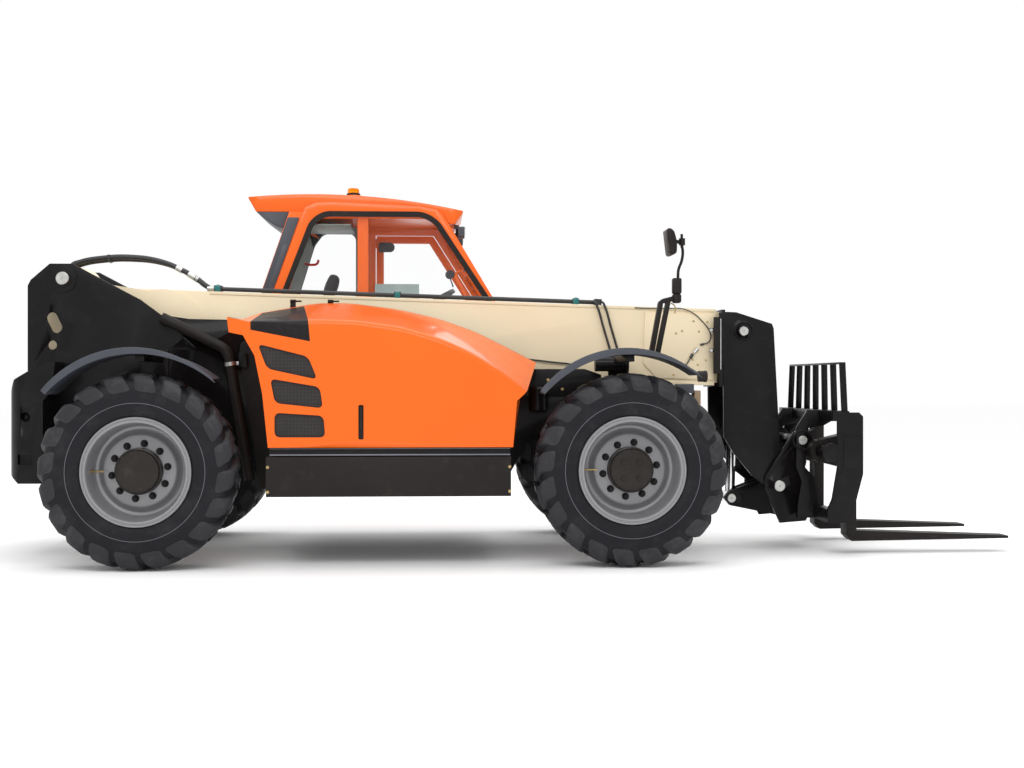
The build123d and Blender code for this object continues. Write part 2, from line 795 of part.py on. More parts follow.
# ================================================================ boom
with BuildPart() as boom:
    with BuildSketch(boom_side(0)):
        Polygon(
            (boom_tail, boom_bottom),
            (boom_length, boom_bottom),
            (boom_length, boom_top),
            (boom_tail, boom_top),
            align=None,
        )
    extrude(amount=boom_half_width, both=True)
    for y in (boom_half_width + doubler, -boom_half_width):
        with BuildSketch(boom_side(y)):
            Circle(pivot_boss)
            with BuildLine():
                Polyline(
                    (960, boom_top - 200),
                    (960, boom_bottom + 40),
                    (boom_tail, boom_bottom + 40),
                    (boom_tail, -60), (-110, 0), (110, 0), (560, boom_top - 12),
                )
                ThreePointArc((560, boom_top - 12), (850, boom_top - 60), (960, boom_top - 200))
            make_face()
        extrude(amount=doubler)
        # stiffer sides at the front end
        with BuildSketch(boom_side(y)):
            Polygon(
                (boom_length - 520, boom_top - 40), (boom_length - 14, boom_top - 40),
                (boom_length - 14, boom_bottom + 40), (boom_length - 420, boom_bottom + 40),
                (boom_length - 520, boom_bottom + 140),
                align=None,
            )
        extrude(amount=doubler)
    with BuildSketch(boom_side(0)):
        Circle(pivot_boss)
    extrude(amount=boom_half_width + 2, both=True)
    with BuildSketch(boom_side(0)):
        inset = boom_wall
        Polygon(
            (boom_tail + 300, boom_bottom + inset),
            (boom_length + 1, boom_bottom + inset),
            (boom_length + 1, boom_top - inset),
            (boom_tail + 300, boom_top - inset),
            align=None,
        )
    extrude(amount=boom_half_width - boom_wall, both=True, mode=Mode.SUBTRACT)
    with BuildSketch(boom_side(0)):
        Circle(pivot_radius + pin_clearance)
    extrude(amount=boom_half_width + doubler + 1, both=True, mode=Mode.SUBTRACT)
    for hand in (1, -1):
        lug_reach = lift_y - lift_eye_half - 8
        with BuildSketch(boom_side(lug_reach if hand > 0 else -boom_half_width + 1)):
            with Locations((lift_lug_u, lift_lug_w)):
                Circle(lift_eye_radius)
        extrude(amount=lug_reach - boom_half_width + 1)
    # wear pads inside the front end
    pad = slide_clearance - seat_gap
    with BuildSketch(boom_side(0)):
        with Locations((boom_length - 90, boom_top - boom_wall - pad / 2),
                       (boom_length - 90, boom_bottom + boom_wall + pad / 2)):
            Rectangle(140, pad)
    extrude(amount=150, both=True)
    for y in (boom_half_width - boom_wall, -boom_half_width + boom_wall + pad):
        with BuildSketch(boom_side(y)):
            with Locations((boom_length - 90, boom_top - 110), (boom_length - 90, boom_bottom + 110)):
                Rectangle(140, 120)
        extrude(amount=pad)
save(boom.part, "boom_outer")

tube_rise = 22.0
tube_start = 1015.0
line_ys = (-200.0, -150.0)


def boom_across(u, w, y):
    """The plane square to the boom at a place on it, facing forward."""
    x, z = at_boom(u, w)
    return Plane(origin=(x, y, z), z_dir=boom_side(0).x_dir)


with BuildPart() as tubes:
    for y in line_ys:
        with BuildSketch(boom_across(tube_start, boom_top + tube_rise, y)):
            Circle(14)
        extrude(amount=2750)
    for u in (tube_start + 15, 2300, 3740):
        with BuildSketch(boom_side(max(line_ys) + 30)):
            with Locations((u, boom_top + tube_rise)):
                Rectangle(50, 2 * tube_rise)
        extrude(amount=max(line_ys) - min(line_ys) + 60)
save(tubes.part, "boom_tubes")

boss_edge = pivot_boss + seat_gap
with BuildPart() as hoses:
    hose_radius = 17.0
    hose_end = at_boom(tube_start - 10 - seat_gap, boom_top + tube_rise)
    for y in line_ys:
        with BuildLine() as route:
            FilletPolyline(
                (boom_pivot_x + boss_edge * cos(1), y, boom_pivot_z + boss_edge * sin(1)),
                (boom_pivot_x + 220 * cos(1), y, boom_pivot_z + 220 * sin(1)),
                (boom_pivot_x + 420, y, boom_pivot_z + 190),
                (boom_pivot_x + 680, y, boom_pivot_z + 120),
                (boom_pivot_x + 840, y, hose_end[1] + 5),
                (hose_end[0], y, hose_end[1]),
                radius=90,
            )
        with BuildSketch(Plane(origin=route.line @ 0, z_dir=route.line % 0)):
            Circle(hose_radius)
        sweep()
save(hoses.part, "boom_hoses")

with BuildPart() as inner:
    step = boom_wall + slide_clearance
    with BuildSketch(boom_side(0)):
        Polygon(
            (inner_rear, boom_bottom + step),
            (head_station, boom_bottom + step),
            (head_station, boom_top - step),
            (inner_rear, boom_top - step),
            align=None,
        )
    extrude(amount=inner_half_width, both=True)
    with BuildSketch(boom_side(0)):
        wall = step + inner_wall
        Polygon(
            (inner_rear - 1, boom_bottom + wall),
            (head_station + 1, boom_bottom + wall),
            (head_station + 1, boom_top - wall),
            (inner_rear - 1, boom_top - wall),
            align=None,
        )
    extrude(amount=inner_half_width - inner_wall, both=True, mode=Mode.SUBTRACT)
    # wear pads outside the back end
    pad = slide_clearance - seat_gap
    with BuildSketch(boom_side(0)):
        with Locations((inner_rear + 90, boom_top - step + pad / 2),
                       (inner_rear + 90, boom_bottom + step - pad / 2)):
            Rectangle(140, pad)
    extrude(amount=150, both=True)
    for y in (inner_half_width + pad, -inner_half_width):
        with BuildSketch(boom_side(y)):
            with Locations((inner_rear + 90, boom_top - 110), (inner_rear + 90, boom_bottom + 110)):
                Rectangle(140, 120)
        extrude(amount=pad)
save(inner.part, "boom_inner")

# head: two cheek plates on a cap across the inner tube's end
cheek = [
    (front_x + 759, 1704), (front_x + 803, 1714), (front_x + 882, 1711), (front_x + 1141, 1629),
    (front_x + 1154, 1597), (front_x + 1186, 1034), (front_x + 1205, 640),
    (coupler_pivot_x + 78, coupler_pivot_z),
    (coupler_pivot_x, coupler_pivot_z - 78), (front_x + 1003, 532), (front_x + 864, 697),
    (front_x + 795, 816), (front_x + 788, 1324),
]
with BuildPart() as head:
    for y in (head_outer, -head_outer + head_plate):
        with BuildSketch(side(y)):
            Polygon(*cheek, align=None)
            with Locations((coupler_pivot_x, coupler_pivot_z)):
                Circle(78)
        extrude(amount=head_plate)
    # collars round the pins, outside the cheeks
    for x, z, r in ((tilt_base_x, tilt_base_z, 92), (coupler_pivot_x, coupler_pivot_z, 74)):
        for y in (head_outer + 6, -head_outer + 1):
            with BuildSketch(side(y)):
                with Locations((x, z)):
                    Circle(r)
            extrude(amount=7)
    # gussets between the cheeks
    for x0, z0, x1, z1 in ((770, 1330, 790, 1690), (1120, 1050, 1140, 1600)):
        with BuildSketch(side(head_outer - 1)):
            Polygon(
                (front_x + x0, z0), (front_x + x0 + 20, z0), (front_x + x1 + 6, z1), (front_x + x1 - 14, z1),
                align=None,
            )
        extrude(amount=2 * head_outer - 2)
    with BuildSketch(boom_side(0)):
        Polygon(
            (head_station, boom_bottom - 10),
            (head_station + 25, boom_bottom - 10),
            (head_station + 25, boom_top - 4),
            (head_station, boom_top - 4),
            align=None,
        )
    extrude(amount=head_outer - 2, both=True)
    with BuildSketch(side(0)):
        with Locations((tilt_base_x, tilt_base_z)):
            Circle(tilt_pin_radius)
    extrude(amount=head_outer + 20, both=True)
    with BuildSketch(side(0)):
        with Locations((coupler_pivot_x, coupler_pivot_z)):
            Circle(42 + pin_clearance)
    extrude(amount=head_outer + 10, both=True, mode=Mode.SUBTRACT)
save(head.part, "boom_head")

# ================================================================ cylinders
def cylinder_pair(base, eye, ys, sizes, barrel_length, drawn_out, names):
    """Barrel and rod between two pins, repeated at each y, the rod so far out at rest."""
    barrel_r, rod_r, eye_r, pin_r, eye_half = sizes
    length = hypot(eye[0] - base[0], eye[1] - base[1])
    along = ((eye[0] - base[0]) / length, (eye[1] - base[1]) / length)

    def plane(y):
        return Plane(origin=(base[0], y, base[1]), x_dir=(along[0], 0, along[1]), z_dir=(0, -1, 0))

    def across(distance, y):
        return Plane(
            origin=(base[0] + along[0] * distance, y, base[1] + along[1] * distance),
            z_dir=(along[0], 0, along[1]),
        )

    bore_r = barrel_r - 10
    with BuildPart() as barrel:
        for y in ys:
            with BuildSketch(across(eye_r - 12, y)):
                Circle(barrel_r)
            extrude(amount=barrel_length - eye_r + 12)
            with BuildSketch(across(barrel_length - 70, y)):
                Circle(barrel_r + 7)
            extrude(amount=58)
            with BuildSketch(plane(y)):
                Circle(eye_r)
            extrude(amount=eye_half, both=True)
            with BuildSketch(across(eye_r + 30, y)):
                Circle(bore_r)
            extrude(amount=barrel_length - eye_r - 100, mode=Mode.SUBTRACT)
            with BuildSketch(across(eye_r + 30, y)):
                Circle(rod_r + pin_clearance)
            extrude(amount=barrel_length, mode=Mode.SUBTRACT)
            with BuildSketch(plane(y)):
                Circle(pin_r + pin_clearance)
            extrude(amount=eye_half + 1, both=True, mode=Mode.SUBTRACT)
    save(barrel.part, names[0])
    with BuildPart() as rod:
        for y in ys:
            piston = eye_r + 40 + drawn_out
            with BuildSketch(across(piston, y)):
                Circle(rod_r)
            extrude(amount=length - piston - 20)
            with BuildSketch(across(piston, y)):
                Circle(bore_r - pin_clearance)
            extrude(amount=50)
            with BuildSketch(plane(y)):
                with Locations((length, 0)):
                    Circle(eye_r)
            extrude(amount=eye_half, both=True)
    save(rod.part, names[1])


cylinder_pair(
    (lift_base_x, lift_base_z),
    at_boom(lift_lug_u, lift_lug_w),
    (lift_y, -lift_y),
    (lift_barrel_radius, lift_rod_radius, lift_eye_radius, lift_pin_radius, lift_eye_half),
    1390,
    0,
    ("lift_barrels", "lift_rods"),
)
cylinder_pair(
    (tilt_base_x, tilt_base_z),
    (tilt_eye_x, tilt_eye_z),
    (0,),
    (tilt_barrel_radius, tilt_rod_radius, tilt_eye_radius, tilt_pin_radius, tilt_eye_half),
    770,
    362,
    ("tilt_barrel", "tilt_rod"),
)

# ================================================================ coupler, carriage and forks
with BuildPart() as coupler:
    coupler_outer = coupler_inner + coupler_plate
    for y in (coupler_outer, -coupler_inner):
        with BuildSketch(side(y)):
            Polygon(
                (front_x + 1290, 850), (front_x + 1380, 850), (front_x + 1400, 770), (front_x + 1360, 560),
                (front_x + 1390, 400), (front_x + 1400, 260), (front_x + 1380, 215), (front_x + 1190, 200),
                (front_x + 1080, 440), (front_x + 1080, 530),
                align=None,
            )
            with Locations((hook_x, hook_z), (lock_x, lock_z)):
                Circle(hook_pin_radius + pin_clearance, mode=Mode.SUBTRACT)
        extrude(amount=coupler_plate)
        with BuildSketch(side(y)):
            with Locations((hook_x, hook_z)):
                Circle(76)
                Circle(hook_pin_radius + pin_clearance, mode=Mode.SUBTRACT)
        extrude(amount=coupler_plate)
    with BuildSketch(side(0)):
        with Locations((coupler_pivot_x, coupler_pivot_z)):
            Circle(42)
    extrude(amount=coupler_outer + 12, both=True)
    with BuildSketch(side(0)):
        with Locations((coupler_pivot_x, coupler_pivot_z)):
            Circle(64)
    extrude(amount=head_outer - head_plate - 8, both=True)
    for y in (tilt_eye_half + 8 + 26, -tilt_eye_half - 8):
        with BuildSketch(side(y)):
            Polygon(
                (coupler_pivot_x, coupler_pivot_z + 60), (tilt_eye_x - 10, tilt_eye_z + 56),
                (tilt_eye_x - 55, tilt_eye_z), (tilt_eye_x - 10, tilt_eye_z - 54),
                (coupler_pivot_x + 110, 220), (coupler_pivot_x + 130, 300),
                align=None,
            )
        extrude(amount=26)
    with BuildSketch(side(0)):
        Polygon(
            (front_x + 1275, 215), (front_x + 1310, 215), (front_x + 1310, 560), (front_x + 1275, 560),
            align=None,
        )
    extrude(amount=coupler_inner + 1, both=True)
save(coupler.part, "coupler")

with BuildPart() as carriage:
    hook_y = coupler_inner + coupler_plate + 8
    for y in (hook_y + 28, -hook_y):
        with BuildSketch(side(y)):
            Polygon(
                (front_x + 1300, 600), (front_x + 1300, 880), (front_x + 1380, 1010), (front_x + 1572, 1010),
                (front_x + 1572, 940), (front_x + 1500, 900), (front_x + 1390, 880), (front_x + 1364, 800),
                (front_x + 1364, 600), (front_x + 1440, 520), (front_x + 1500, 330), (front_x + 1500, 240),
                (front_x + 1310, 240), (front_x + 1310, 330), (front_x + 1340, 500),
                align=None,
            )
        extrude(amount=28)
    with BuildSketch(side(0)):
        with Locations((hook_x, hook_z), (lock_x, lock_z)):
            Circle(hook_pin_radius)
    extrude(amount=hook_y + 20, both=True)
    with BuildSketch(side(0)):
        with Locations((lock_x + 40, lock_z)):
            Rectangle(110, 50)
    extrude(amount=hook_y + 20, both=True)
    with BuildSketch(side(0)):
        with Locations((lock_x + 40, lock_z)):
            Rectangle(112, 52)
    extrude(amount=hook_y - 4, both=True, mode=Mode.SUBTRACT)
    with BuildSketch(side(0)):
        with Locations((hook_x, hook_z), (lock_x, lock_z)):
            Circle(hook_pin_radius)
    extrude(amount=hook_y + 20, both=True)
    for y in (carriage_half_width, -carriage_half_width + 28):
        with BuildSketch(side(y)):
            Polygon(
                (front_x + 1456, 1000), (front_x + 1640, 1000), (front_x + 1668, 972), (front_x + 1668, 575),
                (front_x + 1640, 470), (front_x + 1580, 240), (front_x + 1420, 240), (front_x + 1420, 330),
                (front_x + 1452, 400), (front_x + 1490, 620), (front_x + 1490, 940), (front_x + 1456, 940),
                align=None,
            )
            with Locations((fork_shaft_x, fork_shaft_z)):
                Circle(66)
        extrude(amount=28)
    for x0, x1, z0, z1 in ((1456, 1572, 940, 1010), (1420, 1500, 240, 330)):
        with BuildSketch(side(0)):
            Polygon(
                (front_x + x0, z0), (front_x + x1, z0), (front_x + x1, z1), (front_x + x0, z1), align=None
            )
        extrude(amount=carriage_half_width - 1, both=True)
    with BuildSketch(side(0)):
        with Locations((fork_shaft_x, fork_shaft_z)):
            Circle(fork_shaft_radius)
    extrude(amount=carriage_half_width, both=True)
save(carriage.part, "carriage")

with BuildPart() as backrest:
    for i in range(7):
        share = i / 3 - 1  # -1 at the right, 1 at the left
        low, high = share * (carriage_half_width - 20), share * (carriage_half_width - 72)
        with BuildSketch(Plane.YZ.offset(front_x + 1520)):
            Polygon((low - 6, 1010), (low + 6, 1010), (high + 6, 1335), (high - 6, 1335), align=None)
        extrude(amount=45)
    with BuildSketch(Plane.YZ.offset(front_x + 1520)):
        with Locations((0, 1341)):
            Rectangle(2 * carriage_half_width - 132, 14)
    extrude(amount=45)
save(backrest.part, "backrest")

with BuildPart() as forks:
    for centre in (fork_spacing / 2, -fork_spacing / 2):
        with BuildSketch(side(centre + fork_width / 2)):
            Polygon(
                (fork_face - fork_thickness, fork_bottom + 40),
                (fork_face - fork_thickness + 40, fork_bottom),
                (front_x + front_reach, fork_top_tip - fork_tip_thickness),
                (front_x + front_reach, fork_top_tip),
                (fork_face, fork_top_heel), (fork_face, fork_top), (fork_face - fork_thickness, fork_top),
                align=None,
            )
            Polygon(
                (fork_shaft_x, fork_shaft_z + 80), (fork_face - 10, fork_shaft_z + 140),
                (fork_face - 10, fork_shaft_z - 140), (fork_shaft_x, fork_shaft_z - 80),
                align=None,
            )
            with Locations((fork_shaft_x, fork_shaft_z)):
                Circle(80)
                Circle(fork_shaft_radius + pin_clearance, mode=Mode.SUBTRACT)
        extrude(amount=fork_width)
save(forks.part, "forks")

# ================================================================ cab
cab_profile = [
    (800, 780), (800, 1200), (560, 1420), (600, 1898), (808, 2500), (1960, 2500), (2352, 1849),
    (2466, 1640), (2480, 1500), (2400, 1250), (2385, 780),
]
cab_points = [(rear_x + x, z) for x, z in cab_profile]
window_profile = [
    (690, 1640), (1012, 2472), (1875, 2472), (2282, 1849), (2390, 1660), (2390, 1540), (690, 1540),
]
arch_profile = [
    (600, 1640), (692, 1897), (922, 2530), (1010, 2568), (1140, 2572), (1780, 2545), (1925, 2520),
    (2352, 1849), (2448, 1675), (2448, 1540), (600, 1540),
]
# quarter window behind the door
quarter_profile = [(760, 1600), (812, 1950), (930, 2330), (1000, 2425), (1285, 2425), (1285, 1600)]
housing_profile = [(562, 2500), (610, 2462), (700, 2395), (768, 2374), (812, 2500)]
window_points = [(rear_x + x, z) for x, z in window_profile]
arch_points = [(rear_x + x, z) for x, z in arch_profile]
arch_thickness = 12.0
roof_inner = cab_inner + 14
door_points = [(door_rear, 860), (door_rear, 2400), (rear_x + 1900, 2400), (rear_x + 2250, 1849),
               (rear_x + 2340, 1680), (rear_x + 2340, 1300), (rear_x + 2310, 860)]


def inset_polygon(points, amount):
    with BuildSketch() as shape:
        Polygon(*points, align=None)
        offset(amount=-amount, kind=Kind.INTERSECTION, mode=Mode.REPLACE)
    return shape.sketch


def window_shape():
    """The window opening beside the boom, rounded above."""
    with BuildSketch() as shape:
        Polygon(*window_points, align=None)
        fillet(shape.vertices().group_by(Axis.Y)[-1], window_round)
    return shape.sketch


def quarter_shape():
    """The window opening behind the door, rounded at its corners."""
    with BuildSketch() as shape:
        Polygon(*[(rear_x + x, z) for x, z in quarter_profile], align=None)
        fillet(shape.vertices(), quarter_round)
    return shape.sketch


quarter_round = 40.0
window_round = 105.0
arch_radius = 60.0
with BuildPart() as shell:
    with BuildSketch(side(cab_outer)):
        Polygon(*cab_points, align=None)
    extrude(amount=cab_outer - cab_inner)
    with BuildSketch(side(cab_outer - cab_wall)):
        add(inset_polygon(cab_points, cab_wall))
    extrude(amount=cab_outer - cab_inner - 2 * cab_wall, mode=Mode.SUBTRACT)
    # arched frame round the window beside the boom
    with BuildSketch(side(roof_inner - seat_gap)) as arch:
        Polygon(*arch_points, align=None)
        corners_up = [v for v in arch.vertices() if v.Z > 2500]
        fillet(corners_up, arch_radius)
    extrude(amount=roof_inner - seat_gap - cab_inner + arch_thickness)
    with BuildSketch(side(cab_inner + cab_wall + 1)):
        add(window_shape())
    extrude(amount=cab_wall + arch_thickness + 2, mode=Mode.SUBTRACT)
    # post behind the glass, and a housing under the back of the roof
    with BuildSketch(side(cab_inner + cab_wall + 28)):
        with Locations((rear_x + 1360, 2000)):
            Rectangle(80, 1000)
    extrude(amount=40)
    with BuildSketch(side(cab_outer - 20)):
        Polygon(*[(rear_x + x, z) for x, z in housing_profile], align=None)
    extrude(amount=cab_outer - cab_inner - 40)
    with BuildSketch(side(cab_outer + 1)):
        Polygon(*door_points, align=None)
    extrude(amount=cab_wall + 2, mode=Mode.SUBTRACT)
    with BuildSketch(side(cab_outer + 1)):
        add(quarter_shape())
    extrude(amount=cab_wall + 2, mode=Mode.SUBTRACT)
    # windscreen and rear window, cut in from each end
    for x, depth in ((rear_x + 2500, -560), (rear_x + 500, 420)):
        with BuildSketch(Plane.YZ.offset(x)):
            with Locations(((cab_inner + cab_outer) / 2, (pane_top + pane_bottom) / 2)):
                Rectangle(cab_outer - cab_inner - 2 * pane_margin, pane_top - pane_bottom)
        extrude(amount=depth, mode=Mode.SUBTRACT)
# grab rail behind the door
with BuildPart() as rail:
    rail_x, rail_y = door_rear - 110, cab_outer + 15
    with BuildLine() as grip:
        FilletPolyline(
            (rail_x, cab_outer - 4, 1560), (rail_x, rail_y, 1560), (rail_x, rail_y, 2050),
            (rail_x, cab_outer - 4, 2050),
            radius=9,
        )
    with BuildSketch(Plane(origin=grip.line @ 0, z_dir=grip.line % 0)):
        Circle(8)
    sweep(path=grip.line)
hinge_x, hinge_y = door_rear - 2, cab_outer + 14
hinge_heights = (1480.0, 2300.0)
for name, keep in (("cab_tub", Keep.BOTTOM), ("cab_frame", Keep.TOP)):
    with BuildPart() as half:
        add(shell.part)
        split(bisect_by=Plane.XY.offset(cab_belt), keep=keep)
        if name == "cab_frame":
            add(rail.part)
            for z in hinge_heights:
                with BuildSketch(Plane.XY.offset(z)):
                    with Locations((hinge_x, hinge_y)):
                        Circle(12)
                    with Locations((hinge_x - 30, cab_outer + 5)):
                        Rectangle(60, 10)
                    with Locations((hinge_x - 6, cab_outer + 8)):
                        Rectangle(12, 14)
                extrude(amount=knuckle_height)
                with BuildSketch(Plane.XY.offset(z)):
                    with Locations((hinge_x, hinge_y)):
                        Circle(6)
                extrude(amount=2 * knuckle_height + 2)
    save(half.part, name)

beacon_x, beacon_y, beacon_seat = rear_x + 1285, 540.0, 2636.0
with BuildPart() as roof:
    with BuildSketch(side(cab_outer + 10)):
        with BuildLine():
            Polyline((rear_x + 2121, 2516), (rear_x + 2121, 2502), (rear_x + 2060, 2416),
                     (rear_x + 2013, 2416), (rear_x + 1962, 2500), (rear_x + 556, 2500),
                     (rear_x + 500, 2598), (rear_x + 500, 2610))
            ThreePointArc((rear_x + 500, 2610), (rear_x + 1285, 2628), (rear_x + 2121, 2516))
        make_face()
    extrude(amount=cab_outer + 10 - roof_inner)
    with BuildSketch(Plane.XY.offset(2600)):
        with Locations((beacon_x, beacon_y)):
            Circle(62)
    extrude(amount=beacon_seat - 2600)
save(roof.part, "cab_roof")

with BuildPart() as panes:
    with BuildSketch(side(cab_inner + 26)):
        add(window_shape())
    extrude(amount=glass)
    with BuildSketch(side(cab_outer - 20)):
        add(quarter_shape())
    extrude(amount=glass)
    # windscreen and rear window, following the cab's walls
    with BuildSketch(side(cab_outer - pane_margin)):
        add(inset_polygon(cab_points, 20))
        add(inset_polygon(cab_points, 20 + glass), mode=Mode.SUBTRACT)
        with Locations((rear_x + 1380, (pane_top + pane_bottom) / 2)):
            Rectangle(3000, pane_top - pane_bottom, mode=Mode.INTERSECT)
        with Locations((rear_x + 1500, 2000)):
            Rectangle(800, 1200, mode=Mode.SUBTRACT)
    extrude(amount=cab_outer - cab_inner - 2 * pane_margin)
save(panes.part, "cab_glass")

with BuildPart() as door:
    with BuildSketch(side(cab_outer)):
        add(inset_polygon(door_points, swing_gap))
    extrude(amount=cab_wall)
    with BuildSketch(side(cab_outer + 1)) as door_window:
        add(inset_polygon(door_points, 65))
        with Locations((rear_x + 1900, 1100)):
            Rectangle(1200, 700, mode=Mode.SUBTRACT)
    extrude(amount=cab_wall + 2, mode=Mode.SUBTRACT)
    for z in hinge_heights:
        with BuildSketch(Plane.XY.offset(z + knuckle_height + seat_gap)):
            with Locations((hinge_x, hinge_y)):
                Circle(12)
            with Locations((hinge_x + 38, cab_outer + 5)):
                Rectangle(60, 10)
            with Locations((hinge_x + 9, cab_outer + 10)):
                Rectangle(8, 12)
            with Locations((hinge_x, hinge_y)):
                Circle(6 + pin_clearance, mode=Mode.SUBTRACT)
        extrude(amount=knuckle_height - seat_gap)
save(door.part, "door_frame")
with BuildPart() as door_pane:
    with BuildSketch(side(cab_outer - 20)):
        add(inset_polygon(door_points, 65))
        with Locations((rear_x + 1900, 1100)):
            Rectangle(1200, 700, mode=Mode.SUBTRACT)
    extrude(amount=glass)
save(door_pane.part, "door_glass")

seat_y = (cab_inner + cab_outer) / 2
with BuildPart() as seat:
    with BuildSketch(side(seat_y + 240)):
        Polygon(
            (rear_x + 1180, 1380), (rear_x + 1660, 1400), (rear_x + 1660, 1270), (rear_x + 1500, 1250),
            (rear_x + 1100, 1250), (rear_x + 1050, 1380), (rear_x + 1000, 1860), (rear_x + 1110, 1880),
            align=None,
        )
    extrude(amount=480)
    with BuildSketch(side(seat_y + 120)):
        Polygon(
            (rear_x + 1020, 1870), (rear_x + 1100, 1870), (rear_x + 1190, 2050), (rear_x + 1110, 2060),
            align=None,
        )
    extrude(amount=240)
    with BuildSketch(Plane.XY.offset(cab_floor + cab_wall)):
        with Locations((rear_x + 1330, seat_y)):
            Rectangle(400, 380)
    extrude(amount=1260 - cab_floor - cab_wall)
save(seat.part, "seat")

with BuildPart() as console:
    with BuildSketch(side(seat_y + 180)):
        Polygon(
            (rear_x + 2020, cab_floor + cab_wall), (rear_x + 2300, cab_floor + cab_wall),
            (rear_x + 2330, 1500), (rear_x + 2100, 1700), (rear_x + 2040, 1660),
            align=None,
        )
    extrude(amount=360)
    wheel_plane = Plane(origin=(rear_x + 1900, seat_y, 1830), z_dir=(-0.5, 0, 0.866))
    with BuildSketch(wheel_plane):
        Circle(190)
        Circle(166, mode=Mode.SUBTRACT)
        Rectangle(360, 30)
        Circle(45)
    extrude(amount=24)
    with BuildSketch(wheel_plane):
        Circle(28)
    extrude(amount=-330)
save(console.part, "console")

# treads cut into the tank under the door: height of the tread, height of the opening above it
step_treads = ((478, 120), (628, 120))
with BuildPart() as tank:
    with BuildSketch(side(pod_outer)):
        Polygon(
            (rear_x + 815, sill_bottom), (front_x - 787, sill_bottom), (front_x - 787, cab_floor - seat_gap),
            (rear_x + 815, cab_floor - seat_gap),
            align=None,
        )
    extrude(amount=pod_outer - frame_outer)
    for tread, opening in step_treads:
        with BuildSketch(side(pod_outer + 1)):
            with Locations((rear_x + 1840, tread + opening / 2)):
                Rectangle(460, opening)
        extrude(amount=180, mode=Mode.SUBTRACT)
save(tank.part, "left_side_tank")

with BuildPart() as mirror_part:
    foot_radius = fender_radius + fender_thickness + seat_gap
    mirror_y = -950.0
    with BuildSketch(side(mirror_y + 40)):
        with Locations((front_x, axle_z)):
            Circle(foot_radius + 14)
            Circle(foot_radius, mode=Mode.SUBTRACT)
        Polygon(
            (front_x + 130, axle_z + 600), (front_x + 270, axle_z + 600), (front_x + 270, axle_z + 900),
            (front_x + 130, axle_z + 900),
            align=None, mode=Mode.INTERSECT,
        )
    extrude(amount=80)
    with BuildSketch(side(mirror_y + 30)):
        Polygon(
            (front_x + 146, 1402), (front_x + 174, 1396), (front_x + 226, 1737), (front_x + 196, 1737),
            align=None,
        )
        Polygon(
            (front_x + 196, 1388), (front_x + 226, 1378), (front_x + 302, 1737), (front_x + 272, 1737),
            align=None,
        )
        Polygon(
            (front_x + 195, 1735), (front_x + 370, 1735), (front_x + 370, 1765), (front_x + 195, 1765),
            align=None,
        )
    extrude(amount=60)
    with BuildSketch(Plane.XY.offset(1750)):
        with Locations((front_x + 347, mirror_y)):
            Circle(22)
    extrude(amount=146)
    with BuildSketch(Plane.XY.offset(1895)):
        with Locations((front_x + 360, mirror_y)):
            Circle(12)
    extrude(amount=310)
    with BuildSketch(side(mirror_y + 95)):
        with Locations((front_x + 318, 2152)):
            RectangleRounded(56, 176, 20)
    extrude(amount=190)
    with BuildSketch(side(mirror_y + 12)):
        with Locations((front_x + 350, 2165)):
            Rectangle(40, 30)
    extrude(amount=24)
    # mirror for the other side, low on the leaning corner of the cab
    foot_low, foot_high = 1690.0, 1760.0
    (top_x, top_z), (low_x, low_z) = arch_profile[7:9]
    lean = (low_x - top_x) / (top_z - low_z)
    foot_seat = rear_x + low_x + 1.2 * seat_gap
    arm_end = rear_x + 2562
    with BuildSketch(side(cab_outer - 50)):
        Polygon(
            (foot_seat - (foot_low - low_z) * lean, foot_low), (foot_seat - (foot_high - low_z) * lean, foot_high),
            (arm_end, foot_high + 32), (arm_end, foot_high + 4),
            align=None,
        )
    extrude(amount=24)
    with BuildSketch(Plane.YZ.offset(arm_end - 2)):
        with Locations((cab_outer - 75, foot_high - 15)):
            RectangleRounded(150, 210, 30)
    extrude(amount=45)
save(mirror_part.part, "mirror")

with BuildPart() as lamps:
    for y in (cab_inner + 100, cab_outer - 100):
        with BuildSketch(Plane.YZ.offset(rear_x + 2085)):
            with Locations((y, 2358)):
                RectangleRounded(110, 84, 15)
        extrude(amount=50)
        with BuildSketch(Plane.XY.offset(2385)):
            with Locations((rear_x + 2073, y)):
                Rectangle(36, 24)
        extrude(amount=2416 - seat_gap - 2385)
    # marker lamps at the tips of the front fenders
    for hand in (1, -1):
        tip_x, tip_z = around(front_x, fender_radius + fender_thickness, front_fender_tip)
        marker_y = hand * (fender_outer - 60)
        with BuildSketch(Plane.YZ.offset(tip_x + seat_gap)):
            with Locations((marker_y, tip_z - 18)):
                Circle(36)
        extrude(amount=52)
    # tail lamps on the counterweight
    with BuildSketch(Plane.YZ.offset(rear_x - tail_overhang + 1)):
        with Locations(*tail_lamps):
            RectangleRounded(tail_lamp_width, tail_lamp_height, 18)
    extrude(amount=tail_lamp_depth - seat_gap)
save(lamps.part, "lamps")

with BuildPart() as beacon:
    with BuildSketch(Plane.XY.offset(beacon_seat + seat_gap)):
        with Locations((beacon_x, beacon_y)):
            Circle(52)
    extrude(amount=58)
save(beacon.part, "beacon")
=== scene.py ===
# %% [markdown]
# A rough-terrain telehandler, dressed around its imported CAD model.
# The CAD gives every main form and every moving body. This lesson adds what a
# metal solid can't have: paint, rubber, glass, hoses, bolts and rounded edges.

# %% Load the frame
from math import cos, hypot, pi, radians, sin

import bmesh
import bpy
from mathutils import Matrix, Vector


